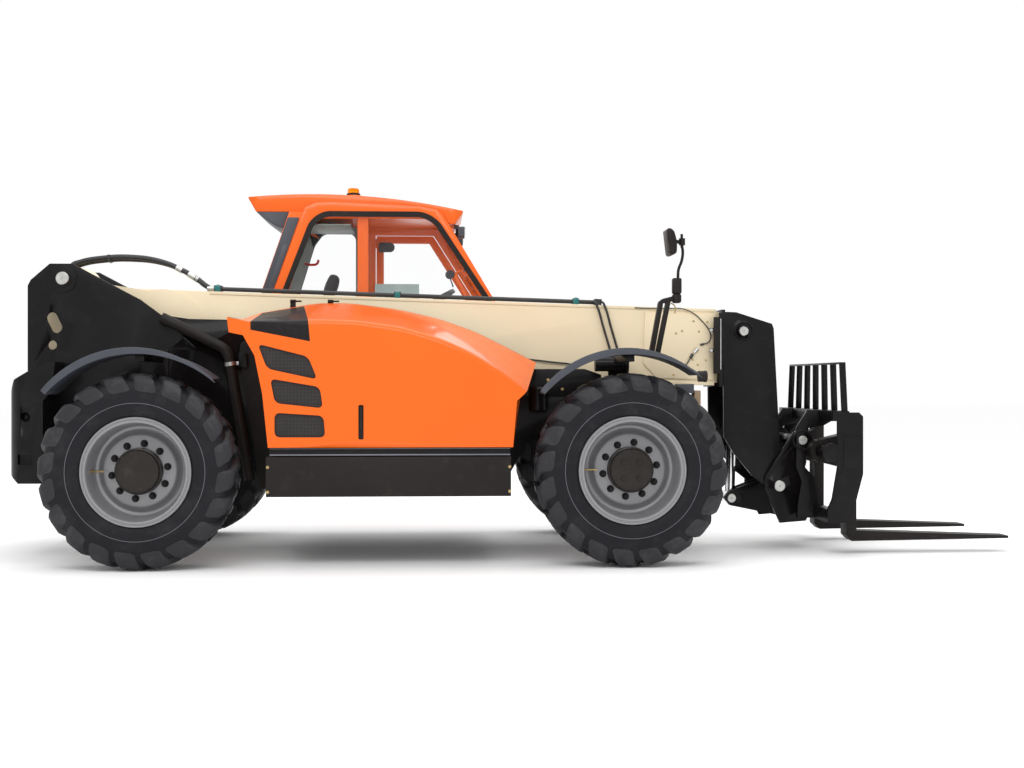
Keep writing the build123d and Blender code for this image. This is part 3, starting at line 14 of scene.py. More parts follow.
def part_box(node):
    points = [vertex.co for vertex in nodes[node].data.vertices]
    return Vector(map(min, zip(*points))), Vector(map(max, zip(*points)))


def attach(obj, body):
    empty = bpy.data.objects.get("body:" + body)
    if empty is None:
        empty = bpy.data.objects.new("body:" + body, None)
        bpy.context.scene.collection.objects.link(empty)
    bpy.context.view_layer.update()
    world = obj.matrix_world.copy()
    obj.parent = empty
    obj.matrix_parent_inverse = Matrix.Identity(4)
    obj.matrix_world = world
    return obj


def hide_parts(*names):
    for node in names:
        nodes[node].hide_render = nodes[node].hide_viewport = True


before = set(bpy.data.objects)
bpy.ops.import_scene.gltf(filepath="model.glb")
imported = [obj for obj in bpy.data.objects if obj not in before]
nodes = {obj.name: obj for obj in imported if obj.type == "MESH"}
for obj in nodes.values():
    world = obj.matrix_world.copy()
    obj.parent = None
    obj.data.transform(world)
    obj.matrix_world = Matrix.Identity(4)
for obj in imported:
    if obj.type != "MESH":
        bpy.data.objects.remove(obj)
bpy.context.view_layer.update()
scene = bpy.context.scene

# %% [markdown]
# The measuring points. The two axle lines are read off the CAD nodes. Almost
# every later piece is placed from the rear one.

# %% Measuring points
tyre_low, tyre_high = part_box("tyre_front_right")
front_x = (tyre_low.x + tyre_high.x) / 2
axle_z = (tyre_low.z + tyre_high.z) / 2
wheel_y = -(tyre_low.y + tyre_high.y) / 2
rear_low, rear_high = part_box("tyre_rear_right")
rear_x = (rear_low.x + rear_high.x) / 2


def at(x, y, z):
    """A place measured from the rear axle."""
    return (rear_x + x, y, z)


print(f"wheelbase {front_x - rear_x:.3f} m, axles {axle_z:.3f} m up")

# %% [markdown]
# The camera stands level at the machine's right side, turned a few degrees to
# the front, so that the far blade of the fork shows behind the near one.

# %% Camera
camera_data = bpy.data.cameras.new("camera")
camera = bpy.data.objects.new("camera", camera_data)
scene.collection.objects.link(camera)
camera.location = at(1.8732, -10.3304, 1.2104)
camera.rotation_euler = (pi / 2, 0, -0.0577)
camera_data.lens = 49.65
camera_data.sensor_width = 36
camera_data.shift_y = -0.002
scene.camera = camera

# %% [markdown]
# A white studio: a pale floor that the wheels stand on, a bright even world
# and three large soft lamps. The lamp over the near side draws the long pale
# highlights on the hood and the boom.

# %% Floor and lights
bm = bmesh.new()
bmesh.ops.create_grid(bm, x_segments=1, y_segments=1, size=60)
floor_mesh = bpy.data.meshes.new("studio_floor")
bm.to_mesh(floor_mesh)
bm.free()
pale = bpy.data.materials.new("studio_floor")
pale.use_nodes = True
pale_shader = pale.node_tree.nodes["Principled BSDF"]
pale_shader.inputs["Base Color"].default_value = (0.985, 0.985, 0.985, 1)
pale_shader.inputs["Roughness"].default_value = 0.9
floor_mesh.materials.append(pale)
floor = bpy.data.objects.new("studio_floor", floor_mesh)
scene.collection.objects.link(floor)

world = bpy.data.worlds.new("studio")
scene.world = world
world.use_nodes = True
sky = world.node_tree.nodes["Background"]
sky.inputs["Color"].default_value = (1, 1, 1, 1)
sky.inputs["Strength"].default_value = 1.0


def area_lamp(name, place, target, size, power):
    """A soft rectangular lamp that looks at a point."""
    data = bpy.data.lights.new(name, "AREA")
    data.shape = "RECTANGLE"
    data.size, data.size_y = size
    data.energy = power
    lamp = bpy.data.objects.new(name, data)
    lamp.location = place
    aim = Vector(target) - Vector(place)
    lamp.rotation_euler = aim.to_track_quat("-Z", "Y").to_euler()
    scene.collection.objects.link(lamp)


area_lamp("key", (-1.5, -6.5, 6.5), (0, -0.5, 1.2), (7, 2.5), 260)
area_lamp("top", (0, 1, 8), (0, 0, 1), (9, 5), 240)
area_lamp("back", (1, 8, 5), (0, 0, 1.2), (8, 3), 120)
scene.view_settings.view_transform = "Standard"
print("camera, floor and lamps are in place")

# %% [markdown]
# Finishes. Each is a small node tree on Object coordinates: a colour that
# drifts slowly over the panel, fine dust that gathers in patches, and a
# roughness and bump at the real scale, such as orange peel in spray paint or
# grain in moulded plastic.

# %% Material helpers
def new_material(name):
    """An empty material with its shader and an Object coordinate source."""
    material = bpy.data.materials.new(name)
    material.use_nodes = True
    tree = material.node_tree
    shader = tree.nodes["Principled BSDF"]
    coords = tree.nodes.new("ShaderNodeTexCoord").outputs["Object"]
    return material, tree, shader, coords


def noise(tree, coords, scale, detail=3.0, rough=0.55):
    """Noise over the object, about 1/scale metres across."""
    node = tree.nodes.new("ShaderNodeTexNoise")
    node.inputs["Scale"].default_value = scale
    node.inputs["Detail"].default_value = detail
    node.inputs["Roughness"].default_value = rough
    tree.links.new(coords, node.inputs["Vector"])
    return node.outputs["Fac"]


def ramp(tree, source, stops):
    """A colour ramp over a 0 to 1 source. stops are two (place, colour)."""
    node = tree.nodes.new("ShaderNodeValToRGB")
    tree.links.new(source, node.inputs["Fac"])
    for point, (place, colour) in zip(node.color_ramp.elements, stops):
        point.position = place
        point.color = (*colour, 1)
    return node.outputs["Color"]


def mixed(tree, amount, first, second):
    """first where amount is 0, second where it is 1. Each is a colour or a socket."""
    node = tree.nodes.new("ShaderNodeMix")
    node.data_type = "RGBA"
    tree.links.new(amount, node.inputs["Factor"])
    for socket, value in (("A", first), ("B", second)):
        target = [s for s in node.inputs if s.name == socket and s.type == "RGBA"][0]
        if isinstance(value, tuple):
            target.default_value = (*value, 1)
        else:
            tree.links.new(value, target)
    return [s for s in node.outputs if s.type == "RGBA"][0]


def mapped(tree, source, low, high, to_low=0.0, to_high=1.0):
    """Stretches low..high of a source to another range, clamped."""
    node = tree.nodes.new("ShaderNodeMapRange")
    tree.links.new(source, node.inputs["Value"])
    for name, value in (("From Min", low), ("From Max", high), ("To Min", to_low), ("To Max", to_high)):
        node.inputs[name].default_value = value
    return node.outputs["Result"]


def bump(tree, shader, height, distance, strength):
    """Raises the surface by a height that varies from 0 to 1."""
    node = tree.nodes.new("ShaderNodeBump")
    node.inputs["Distance"].default_value = distance
    node.inputs["Strength"].default_value = strength
    tree.links.new(height, node.inputs["Height"])
    tree.links.new(node.outputs["Normal"], shader.inputs["Normal"])


def paint(name, colour, roughness, coat, drift, dust, metal=0.0, shine=0.35):
    """Sprayed paint: drifting colour, light dust, orange peel and a clear coat."""
    material, tree, shader, coords = new_material(name)
    darker = tuple(c * (1 - drift) for c in colour)
    base = ramp(tree, noise(tree, coords, 1.7), [(0.3, darker), (0.7, colour)])
    dusty = mapped(tree, noise(tree, coords, 9, 6, 0.65), 0.55, 0.8, 0.0, dust)
    tree.links.new(mixed(tree, dusty, base, (0.42, 0.38, 0.33)), shader.inputs["Base Color"])
    tree.links.new(
        mapped(tree, noise(tree, coords, 6, 5), 0.3, 0.75, roughness, min(1, roughness + 0.14)),
        shader.inputs["Roughness"],
    )
    shader.inputs["Metallic"].default_value = metal
    shader.inputs["Specular IOR Level"].default_value = shine
    shader.inputs["Coat Weight"].default_value = coat
    shader.inputs["Coat Roughness"].default_value = 0.08
    bump(tree, shader, noise(tree, coords, 420, 2), 0.00025, 0.25)
    return material


def grained(name, colour, roughness, scale=900, depth=0.0004, dust=0.12, shine=0.5):
    """Moulded plastic or rubber: a matt colour with a fine grain and dust in patches."""
    material, tree, shader, coords = new_material(name)
    darker = tuple(c * 0.8 for c in colour)
    base = ramp(tree, noise(tree, coords, 4, 5), [(0.3, darker), (0.7, colour)])
    dusty = mapped(tree, noise(tree, coords, 7, 7, 0.7), 0.5, 0.8, 0.0, dust)
    tree.links.new(mixed(tree, dusty, base, (0.30, 0.28, 0.25)), shader.inputs["Base Color"])
    tree.links.new(
        mapped(tree, noise(tree, coords, 14, 4), 0.3, 0.7, roughness - 0.06, roughness + 0.08),
        shader.inputs["Roughness"],
    )
    shader.inputs["Specular IOR Level"].default_value = shine
    bump(tree, shader, noise(tree, coords, scale, 3), depth, 0.35)
    return material


def metal(name, colour, roughness):
    """Bare or plated steel with fine turning marks."""
    material, tree, shader, coords = new_material(name)
    base = ramp(tree, noise(tree, coords, 20, 4), [(0.3, tuple(c * 0.8 for c in colour)), (0.7, colour)])
    tree.links.new(base, shader.inputs["Base Color"])
    shader.inputs["Metallic"].default_value = 1.0
    tree.links.new(
        mapped(tree, noise(tree, coords, 60, 5), 0.3, 0.7, roughness, roughness + 0.12),
        shader.inputs["Roughness"],
    )
    bump(tree, shader, noise(tree, coords, 700, 2), 0.0002, 0.2)
    return material


# %% [markdown]
# Glass is clear with a cool tint and a faint film of dust. A pane is a thin
# solid, so it is made mostly see-through by its alpha: light then falls into
# the cab as it does through a real window. Lenses bend light and keep theirs.

# %% Glass and lenses
def clear(name, colour, roughness=0.02, film=0.05, transmission=1.0, alpha=1.0):
    """Glass or a coloured lens, with a film of dust in streaks."""
    material, tree, shader, coords = new_material(name)
    streaks = mapped(tree, noise(tree, coords, 11, 6), 0.5, 0.85, 0.0, film)
    tree.links.new(mixed(tree, streaks, colour, (0.8, 0.8, 0.78)), shader.inputs["Base Color"])
    tree.links.new(
        mapped(tree, noise(tree, coords, 15, 5), 0.4, 0.8, roughness, roughness + 0.06),
        shader.inputs["Roughness"],
    )
    shader.inputs["Transmission Weight"].default_value = transmission
    shader.inputs["IOR"].default_value = 1.12
    shader.inputs["Alpha"].default_value = alpha
    return material


# %% [markdown]
# The set of finishes on this machine.

# %% Finishes
orange = paint("orange_paint", (0.80, 0.118, 0.0), 0.3, coat=0.35, drift=0.05, dust=0.01, shine=0.2)
cream = paint("cream_paint", (0.80, 0.68, 0.47), 0.4, coat=0.15, drift=0.05, dust=0.03, shine=0.25)
black = paint("gloss_black", (0.0065, 0.0055, 0.006), 0.3, coat=0.1, drift=0.3, dust=0.015, shine=0.12)
satin = paint("satin_black", (0.014, 0.011, 0.010), 0.45, coat=0.0, drift=0.3, dust=0.03, shine=0.2)
plastic = grained("moulded_plastic", (0.042, 0.046, 0.062), 0.45, dust=0.05)
# one rubber in two tones: the carcass darker as painted shade between the lugs, the lugs lighter as a painted
# highlight on their tops
rubber = grained("tyre_rubber", (0.008, 0.008, 0.011), 0.6, scale=260, depth=0.0012, dust=0.06, shine=0.2)
tread = grained("tread_rubber_painted_highlight", (0.019, 0.019, 0.023), 0.5, scale=220, depth=0.0016, dust=0.12, shine=0.3)
# a paler rubber for a thin ring along each tyre wall's rib: a painted highlight
tyre_rib_highlight = grained("tyre_rib_painted_highlight", (0.11, 0.11, 0.13), 0.6, dust=0.1)
hose = grained("hose_rubber", (0.02, 0.02, 0.021), 0.48, scale=500)
chrome = metal("chrome", (0.85, 0.85, 0.86), 0.08)
pin_steel = metal("zinc_pin", (0.56, 0.56, 0.54), 0.34)
brass = metal("yellow_zinc", (0.50, 0.37, 0.17), 0.34)
silver = paint("rim_silver", (0.25, 0.25, 0.26), 0.36, coat=0.25, drift=0.1, dust=0.12, metal=0.35)
hub_black = paint("hub_black", (0.016, 0.012, 0.010), 0.4, coat=0.15, drift=0.3, dust=0.05, shine=0.2)
teal = grained("teal_clamp", (0.0, 0.16, 0.15), 0.4)
iron = paint("engine_iron", (0.10, 0.10, 0.105), 0.55, coat=0.0, drift=0.4, dust=0.3)
tinted = clear("tinted_glass", (0.70, 0.88, 0.90), film=0.1, transmission=0.0, alpha=0.012)
lens = clear("lamp_glass", (0.95, 0.95, 0.95), 0.05)
amber = clear("amber_lens", (0.95, 0.30, 0.01), 0.08, 0.02, 0.6)
red_lens = clear("red_lens", (0.55, 0.01, 0.01), 0.1, 0.02, 0.4)
smoked = paint("smoked_panel", (0.010, 0.008, 0.008), 0.42, coat=0.1, drift=0.3, dust=0.03, shine=0.15)
lining = grained("cab_lining", (0.22, 0.27, 0.27), 0.6, scale=700, depth=0.0005, dust=0.1)
pocket_blue = grained("pocket_plastic", (0.52, 0.74, 0.74), 0.5, dust=0.05)
mirror_face = metal("mirror_glass", (0.80, 0.83, 0.86), 0.03)
tan = paint("tan_primer", (0.30, 0.21, 0.13), 0.5, coat=0.0, drift=0.2, dust=0.1)
# a paler half-metallic grey for the sill's lips: a painted highlight along them
lip_sheen_metal = paint("sill_lip", (0.16, 0.16, 0.19), 0.3, coat=0.3, drift=0.2, dust=0.05, metal=0.5)
fabric = grained("seat_cloth", (0.035, 0.036, 0.040), 0.85, scale=1400, depth=0.0006, dust=0.05)

# %% [markdown]
# The grilles are pressed sheet with a fine pattern of holes. Real holes would be
# thousands of small faces, so they are drawn as round cells: near-black in the
# middle, a painted shade for the dark seen through each hole, with a slightly
# paler web that stands up round them.

# %% Perforated sheet
def perforated(name, pitch):
    """Sheet with round holes a pitch apart, by the distance to the nearest cell's middle."""
    material, tree, shader, coords = new_material(name)
    place = tree.nodes.new("ShaderNodeMapping")
    place.inputs["Scale"].default_value = (1, 0, 1)
    tree.links.new(coords, place.inputs["Vector"])
    cells = tree.nodes.new("ShaderNodeTexVoronoi")
    cells.inputs["Scale"].default_value = 1 / pitch
    cells.inputs["Randomness"].default_value = 0.0
    tree.links.new(place.outputs["Vector"], cells.inputs["Vector"])
    web = mapped(tree, cells.outputs["Distance"], 0.28, 0.40)
    stops = [(0.3, (0.030, 0.026, 0.026)), (0.7, (0.046, 0.040, 0.040))]
    drift = ramp(tree, noise(tree, coords, 5, 4), stops)
    # the near-black hole centres are painted shade, the dark seen through the holes
    tree.links.new(mixed(tree, web, (0.002, 0.002, 0.002), drift), shader.inputs["Base Color"])
    shader.inputs["Roughness"].default_value = 0.5
    shader.inputs["Specular IOR Level"].default_value = 0.25
    bump(tree, shader, web, 0.0015, 0.6)
    return material


grille = perforated("perforated_sheet", 0.009)

# %% [markdown]
# CAD nodes whose shape is right keep their mesh and only get a finish.

# %% Finishes for the CAD nodes
node_finish = {
    black: ["chassis_frame", "boom_head", "coupler", "carriage", "backrest", "counterweight"],
    satin: ["pod_sill", "left_side_tank", "cab_tub", "axle_front", "axle_rear", "tie_rod_front",
            "tie_rod_rear", "lift_barrels", "tilt_barrel", "exhaust_pipe", "forks",
            "knuckle_front_left", "knuckle_front_right", "knuckle_rear_left", "knuckle_rear_right"],
    orange: ["hood_shell", "cab_frame", "cab_roof", "door_frame"],
    cream: ["boom_outer", "boom_inner"],
    plastic: ["fenders", "mirror", "console", "lamps"],
    grille: ["hood_grilles"],
    rubber: ["tyre_front_left", "tyre_front_right", "tyre_rear_left", "tyre_rear_right"],
    silver: ["rim_front_left", "rim_front_right", "rim_rear_left", "rim_rear_right"],
    chrome: ["lift_rods", "tilt_rod"],
    hose: ["boom_hoses", "boom_tubes"],
    iron: ["engine_block"],
    tinted: ["cab_glass", "door_glass"],
    amber: ["beacon"],
    fabric: ["seat"],
}
for material, names in node_finish.items():
    for name in names:
        mesh = nodes[name].data
        mesh.materials.clear()
        mesh.materials.append(material)
missing = sorted(set(nodes) - {n for names in node_finish.values() for n in names})
print("nodes with no finish:", missing)

# %% [markdown]
# Every new piece is a bmesh that ends as one object at the origin, with its
# place in its mesh. A piece rides on a body, takes a finish, and gets smooth
# shading that breaks at real edges.

# %% Piece helpers
def piece(name, bm, material, body, sharp=40, replaces=(), shaded=False):
    """Turns a bmesh into a finished object that rides on a body."""
    mesh = bpy.data.meshes.new(name)
    bm.normal_update()
    bm.to_mesh(mesh)
    bm.free()
    mesh.materials.append(material)
    if not shaded:
        mesh.shade_smooth()
    mesh.set_sharp_from_angle(angle=radians(sharp))
    obj = bpy.data.objects.new(name, mesh)
    scene.collection.objects.link(obj)
    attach(obj, body)
    if replaces:
        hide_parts(*replaces)
    return obj


def joined(bm, part):
    """Adds a finished bmesh to another."""
    mesh = bpy.data.meshes.new("part")
    part.to_mesh(mesh)
    part.free()
    bm.from_mesh(mesh)
    bpy.data.meshes.remove(mesh)


def moved(bm, verts, place, turn):
    """Turns new verts about the origin, then takes them to their place."""
    bmesh.ops.transform(bm, matrix=turn.to_4x4(), verts=verts)
    bmesh.ops.translate(bm, vec=place, verts=verts)
    return verts


def toward(axis):
    """The turn that takes +Z to a direction."""
    return Vector((0, 0, 1)).rotation_difference(Vector(axis)).to_matrix()


def rod(bm, place, axis, radius, length, sides=16, tip=None):
    """A cylinder or cone that starts at place and runs along axis."""
    made = bmesh.ops.create_cone(
        bm, cap_ends=True, segments=sides, radius1=radius,
        radius2=radius if tip is None else tip, depth=length,
    )["verts"]
    bmesh.ops.translate(bm, vec=(0, 0, length / 2), verts=made)
    return moved(bm, made, place, toward(axis))


def block(bm, low, high, edge=0.0):
    """A box between two corners, its edges rounded by edge."""
    made = bmesh.ops.create_cube(bm, size=1)["verts"]
    size = [h - l for l, h in zip(low, high)]
    bmesh.ops.scale(bm, vec=size, verts=made)
    bmesh.ops.translate(bm, vec=[(l + h) / 2 for l, h in zip(low, high)], verts=made)
    if edge:
        edges = list(dict.fromkeys(e for v in made for e in v.link_edges))  # a set has no fixed order
        made = bmesh.ops.bevel(
            bm, geom=edges, offset=edge, segments=2, profile=0.5, affect="EDGES", material=-1
        )["verts"]
    return made


def block_piece(name, low, high, edge, material, body):
    """A piece that is one block between two places from the rear axle."""
    bm = bmesh.new()
    block(bm, at(*low), at(*high), edge)
    piece(name, bm, material, body)


def bolt(bm, place, axis, radius, height):
    """A hexagon head on a round washer."""
    rod(bm, place, axis, radius * 1.35, height * 0.22, 16)
    rod(bm, place, axis, radius, height, 6, radius * 0.94)


def lathe(bm, profile, steps, closed=True):
    """Spins (radius, outboard) points about the wheel's axis. Outboard is -Y here."""
    verts = [bm.verts.new((r, -w, 0)) for r, w in profile]
    edges = [bm.edges.new(pair) for pair in zip(verts, verts[1:])]
    if closed:
        edges.append(bm.edges.new((verts[-1], verts[0])))
    bmesh.ops.spin(
        bm, geom=verts + edges, cent=(0, 0, 0), axis=(0, 1, 0), angle=2 * pi, steps=steps, use_merge=True
    )
    bmesh.ops.remove_doubles(bm, verts=bm.verts, dist=1e-5)
    bmesh.ops.recalc_face_normals(bm, faces=bm.faces)


# %% [markdown]
# A tyre of this kind has a smooth flank and deep chevron lugs that run out
# over the shoulder and fade into it. One lug is a face extruded through a few
# stations across the tread, each wider and lower than the last. The lug is then
# repeated round the wheel by a spin, and mirrored half a pitch on.

# %% Tyres
lug_count = 20
tyre_profile = [  # radius, distance from the middle, over the outer skin
    (0.345, 0.150), (0.352, 0.168), (0.372, 0.180), (0.410, 0.190), (0.440, 0.1935), (0.446, 0.1950),
    (0.452, 0.1935), (0.480, 0.1938), (0.520, 0.191), (0.552, 0.184), (0.575, 0.172), (0.592, 0.150),
    (0.600, 0.110), (0.603, 0.05),
]
lug_stations = [  # distance from the middle, top radius, foot radius, half width at the top
    (-0.016, 0.632, 0.585, 0.030), (0.030, 0.6335, 0.585, 0.036), (0.080, 0.6330, 0.580, 0.042),
    (0.125, 0.629, 0.572, 0.050), (0.158, 0.619, 0.556, 0.056), (0.178, 0.601, 0.545, 0.059),
    (0.1895, 0.574, 0.530, 0.057), (0.1944, 0.548, 0.520, 0.044), (0.1915, 0.528, 0.515, 0.026),
]
lug_sweep = 0.62  # radians from square across


def lug_arc(w):
    """How far round a lug has swept at a distance from the middle, in metres."""
    return sin(lug_sweep) * (w - 0.09) + 0.9 * (w - 0.09) ** 2


def lugs_mesh():
    """All lugs of one tyre, about the origin, outboard along -Y."""
    bm = bmesh.new()
    face = bm.faces.new(bmesh.ops.create_circle(bm, cap_ends=False, segments=4, radius=0.1)["verts"])
    for number, (w, top, foot, half) in enumerate(lug_stations):
        if number:
            grown = bmesh.ops.extrude_face_region(bm, geom=[face])["geom"]
            face = [g for g in grown if isinstance(g, bmesh.types.BMFace)][0]
        places = ((foot, -half - 0.012), (foot, half + 0.012), (top, half), (top, -half))
        for vert, (radius, reach) in zip(face.verts, places):
            angle = (lug_arc(w) + reach) / radius
            vert.co = (radius * sin(angle), -w, radius * cos(angle))
    bmesh.ops.recalc_face_normals(bm, faces=bm.faces)
    crown = [e for e in bm.edges if all(v.co.x**2 + v.co.z**2 > 0.524**2 for v in e.verts)
             and e.is_manifold and e.calc_face_angle() > 0.6]
    bmesh.ops.bevel(bm, geom=crown, offset=0.007, segments=1, profile=0.5, affect="EDGES", material=-1)
    bmesh.ops.spin(
        bm, geom=bm.verts[:] + bm.edges[:] + bm.faces[:], cent=(0, 0, 0), axis=(0, 1, 0),
        angle=2 * pi * (lug_count - 1) / lug_count, steps=lug_count - 1, use_duplicate=True,
    )
    far = bmesh.ops.duplicate(bm, geom=bm.verts[:] + bm.edges[:] + bm.faces[:])["geom"]
    far_verts = [g for g in far if isinstance(g, bmesh.types.BMVert)]
    bmesh.ops.scale(bm, vec=(1, -1, 1), verts=far_verts)
    bmesh.ops.rotate(bm, cent=(0, 0, 0), matrix=Matrix.Rotation(pi / lug_count, 3, "Y"), verts=far_verts)
    bmesh.ops.reverse_faces(bm, faces=[g for g in far if isinstance(g, bmesh.types.BMFace)])
    return bm


def carcass_mesh():
    """The tyre between and inside its lugs."""
    bm = bmesh.new()
    lathe(bm, tyre_profile + [(r, -w) for r, w in reversed(tyre_profile)], 120)
    return bm


# %% [markdown]
# The rim is a spun steel section: a double-rolled flange, a straight barrel and
# a dished disc. Its hub is a dark casting with a separate face, and the ten
# nuts stand on the disc round it. The tyre valve is a thin brass stem.

# %% Rims and hubs
rim_profile = [  # radius, distance outboard of the middle
    (0.352, 0.166), (0.3525, 0.175), (0.349, 0.179), (0.341, 0.179), (0.337, 0.174), (0.333, 0.174),
    (0.329, 0.178), (0.318, 0.178), (0.312, 0.170), (0.309, 0.150), (0.306, 0.060), (0.301, 0.020),
    (0.289, -0.002), (0.272, -0.008), (0.256, -0.002), (0.245, 0.014), (0.236, 0.026), (0.226, 0.030),
    (0.100, 0.030), (0.100, 0.012), (0.222, 0.012), (0.268, -0.022), (0.312, -0.022), (0.310, -0.150),
    (0.330, -0.179), (0.352, -0.179), (0.352, -0.166), (0.3435, -0.160), (0.3435, -0.128),
    (0.322, -0.105), (0.322, 0.105), (0.3435, 0.128), (0.3435, 0.160),
]
hub_profile = [
    (0.0, 0.124), (0.122, 0.124), (0.134, 0.120), (0.140, 0.110), (0.141, 0.096), (0.150, 0.092),
    (0.151, 0.080), (0.151, 0.0305), (0.0, 0.0305),
]
nut_circle = 0.180


def rim_mesh():
    """The spun rim with its disc."""
    bm = bmesh.new()
    lathe(bm, rim_profile, 96)
    return bm


def hub_mesh(bolts):
    """The hub drum, with its cover bolts and a ring of small ones."""
    bm = bmesh.new()
    lathe(bm, hub_profile, 64, closed=False)
    for i in range(bolts):
        angle = 2 * pi * (i + 0.5) / bolts
        bolt(bm, (0.075 * cos(angle), -0.124, 0.075 * sin(angle)), (0, -1, 0), 0.015, 0.012)
    for i in range(12):
        angle = 2 * pi * i / 12
        rod(bm, (0.128 * cos(angle), -0.119, 0.128 * sin(angle)), (0, -1, 0), 0.006, 0.008, 8)
    return bm


def nuts_mesh():
    """Ten wheel nuts with washers and stud ends."""
    bm = bmesh.new()
    for i in range(10):
        angle = 2 * pi * (i + 0.25) / 10
        place = (nut_circle * cos(angle), -0.0302, nut_circle * sin(angle))
        rod(bm, place, (0, -1, 0), 0.024, 0.005, 20)
        rod(bm, place, (0, -1, 0), 0.0175, 0.026, 6, 0.016)
        rod(bm, place, (0, -1, 0), 0.010, 0.036, 12)
    return bm


def valve_mesh():
    """The tyre valve and its cap."""
    bm = bmesh.new()
    rod(bm, (-0.304, -0.060, 0), (0.99, -0.12, 0), 0.0055, 0.075, 10)
    rod(bm, (-0.240, -0.068, 0), (0.99, -0.12, 0), 0.008, 0.018, 10)
    rod(bm, (-0.306, -0.060, 0), (0.99, -0.12, 0), 0.011, 0.012, 12)
    return bm


wheels = [  # corner, axle, outboard turn, bolts on the hub
    ("front_right", front_x, 0, 4), ("front_left", front_x, pi, 4),
    ("rear_right", rear_x, 0, 0), ("rear_left", rear_x, pi, 0),
]
for corner, x, turn, bolts in wheels:
    seat = Matrix.Translation((x, wheel_y if turn else -wheel_y, axle_z)) @ Matrix.Rotation(turn, 4, "Z")
    parts = [
        # the carcass takes the darker rubber (painted shade between the lugs), the lugs the lighter one
        # (painted highlight)
        ("tyre_carcass", carcass_mesh(), rubber, "tyre_rubber", 40, f"tyre_{corner}"),
        ("tyre_lugs", lugs_mesh(), tread, "tyre_rubber", 40, None),
        ("rim_spun", rim_mesh(), silver, "rim_silver", 35, f"rim_{corner}"),
        ("hub_drum", hub_mesh(bolts), hub_black, "rim_silver", 35, None),
        ("wheel_nuts", nuts_mesh(), black, "rim_silver", 35, None),
        ("tyre_valve", valve_mesh(), brass, "rim_silver", 35, None),
    ]
    for word, bm, material, slot, sharp, node in parts:
        bmesh.ops.transform(bm, matrix=seat, verts=bm.verts)
        piece(f"{word}_{corner}", bm, material, f"wheel_{corner}", sharp, (node,) if node else ())
print("four wheels, each with", 2 * lug_count, "lugs")

# %% [markdown]
# Folded plate and welded boxes never have a knife edge. The big painted nodes
# are copied, their loose triangles merged, flat areas dissolved, and every real
# edge rounded by a few millimetres. The copy then stands for its node. The
# rounded edges catch the studio lamps as thin pale lines.

# %% Rounded copies of the painted nodes
def merged_copy(node):
    """A CAD mesh with its points merged and its flat areas whole. Only curved areas shade smooth."""
    bm = bmesh.new()
    bm.from_mesh(nodes[node].data)
    bmesh.ops.remove_doubles(bm, verts=bm.verts, dist=2e-5)
    bmesh.ops.dissolve_limit(
        bm, angle_limit=radians(0.6), use_dissolve_boundaries=False, verts=bm.verts, edges=bm.edges
    )
    for f in bm.faces:
        f.smooth = any(e.is_manifold and 0.02 < e.calc_face_angle() < 0.5 for e in f.edges)
    return bm


def rounded(bm, edges, width, segments=2):
    """Rounds edges. The narrow new faces shade smooth and broad ones stay flat."""
    made = bmesh.ops.bevel(
        bm, geom=edges, offset=width, segments=segments, profile=0.5, affect="EDGES",
        material=-1, clamp_overlap=True,
    )["faces"]
    for f in made:
        f.smooth = f.calc_area() < 1.2 * width / segments * f.calc_perimeter()


def softened(node, body, material, width):
    """A copy of a CAD node with rounded edges, which stands for the node."""
    bm = merged_copy(node)
    rounded(bm, [e for e in bm.edges if e.is_manifold and e.calc_face_angle() > radians(30)
                 and e.calc_length() > 2 * width], width)
    bmesh.ops.triangulate(bm, faces=[f for f in bm.faces if len(f.verts) > 4])
    return piece(f"{node}_soft", bm, material, body, 60, (node,), shaded=True)


soft_nodes = [  # node, body, slot, finish, edge radius
    ("cab_frame", "chassis", "orange_paint", orange, 0.004),
    ("cab_roof", "chassis", "orange_paint", orange, 0.009),
    ("door_frame", "door", "orange_paint", orange, 0.004),
    ("boom_outer", "boom", "cream_paint", cream, 0.003),
    ("boom_inner", "telescope", "cream_paint", cream, 0.003),
    ("boom_head", "telescope", "black_paint", black, 0.004),
    ("coupler", "fork_head", "black_paint", black, 0.004),
    ("carriage", "fork_head", "black_paint", black, 0.004),
    ("backrest", "fork_head", "black_paint", black, 0.003),
    ("forks", "fork_head", "fork_steel", satin, 0.006),
    ("counterweight", "chassis", "cast_black", black, 0.010),
    ("chassis_frame", "chassis", "black_paint", black, 0.003),
    ("fenders", "chassis", "dark_plastic", plastic, 0.004),
    ("pod_sill", "chassis", "frame_black", satin, 0.003),
    ("left_side_tank", "chassis", "frame_black", satin, 0.008),
    ("console", "chassis", "dark_plastic", plastic, 0.008),
]
for node, body, slot, finish, width in soft_nodes:
    softened(node, body, finish, width)
print("rounded copies:", len(soft_nodes))

# %% [markdown]
# The hood is one moulded shell. Its flank is flat and rolls over a soft
# shoulder to a crown that falls forward. It is made as a face extruded from the
# outer outline to the one beside the boom, with the shoulder and the crown
# rounded by bevels. The flank is then filled again round its openings, whose
# edges turn inward. Faces behind the split take a smoked finish.

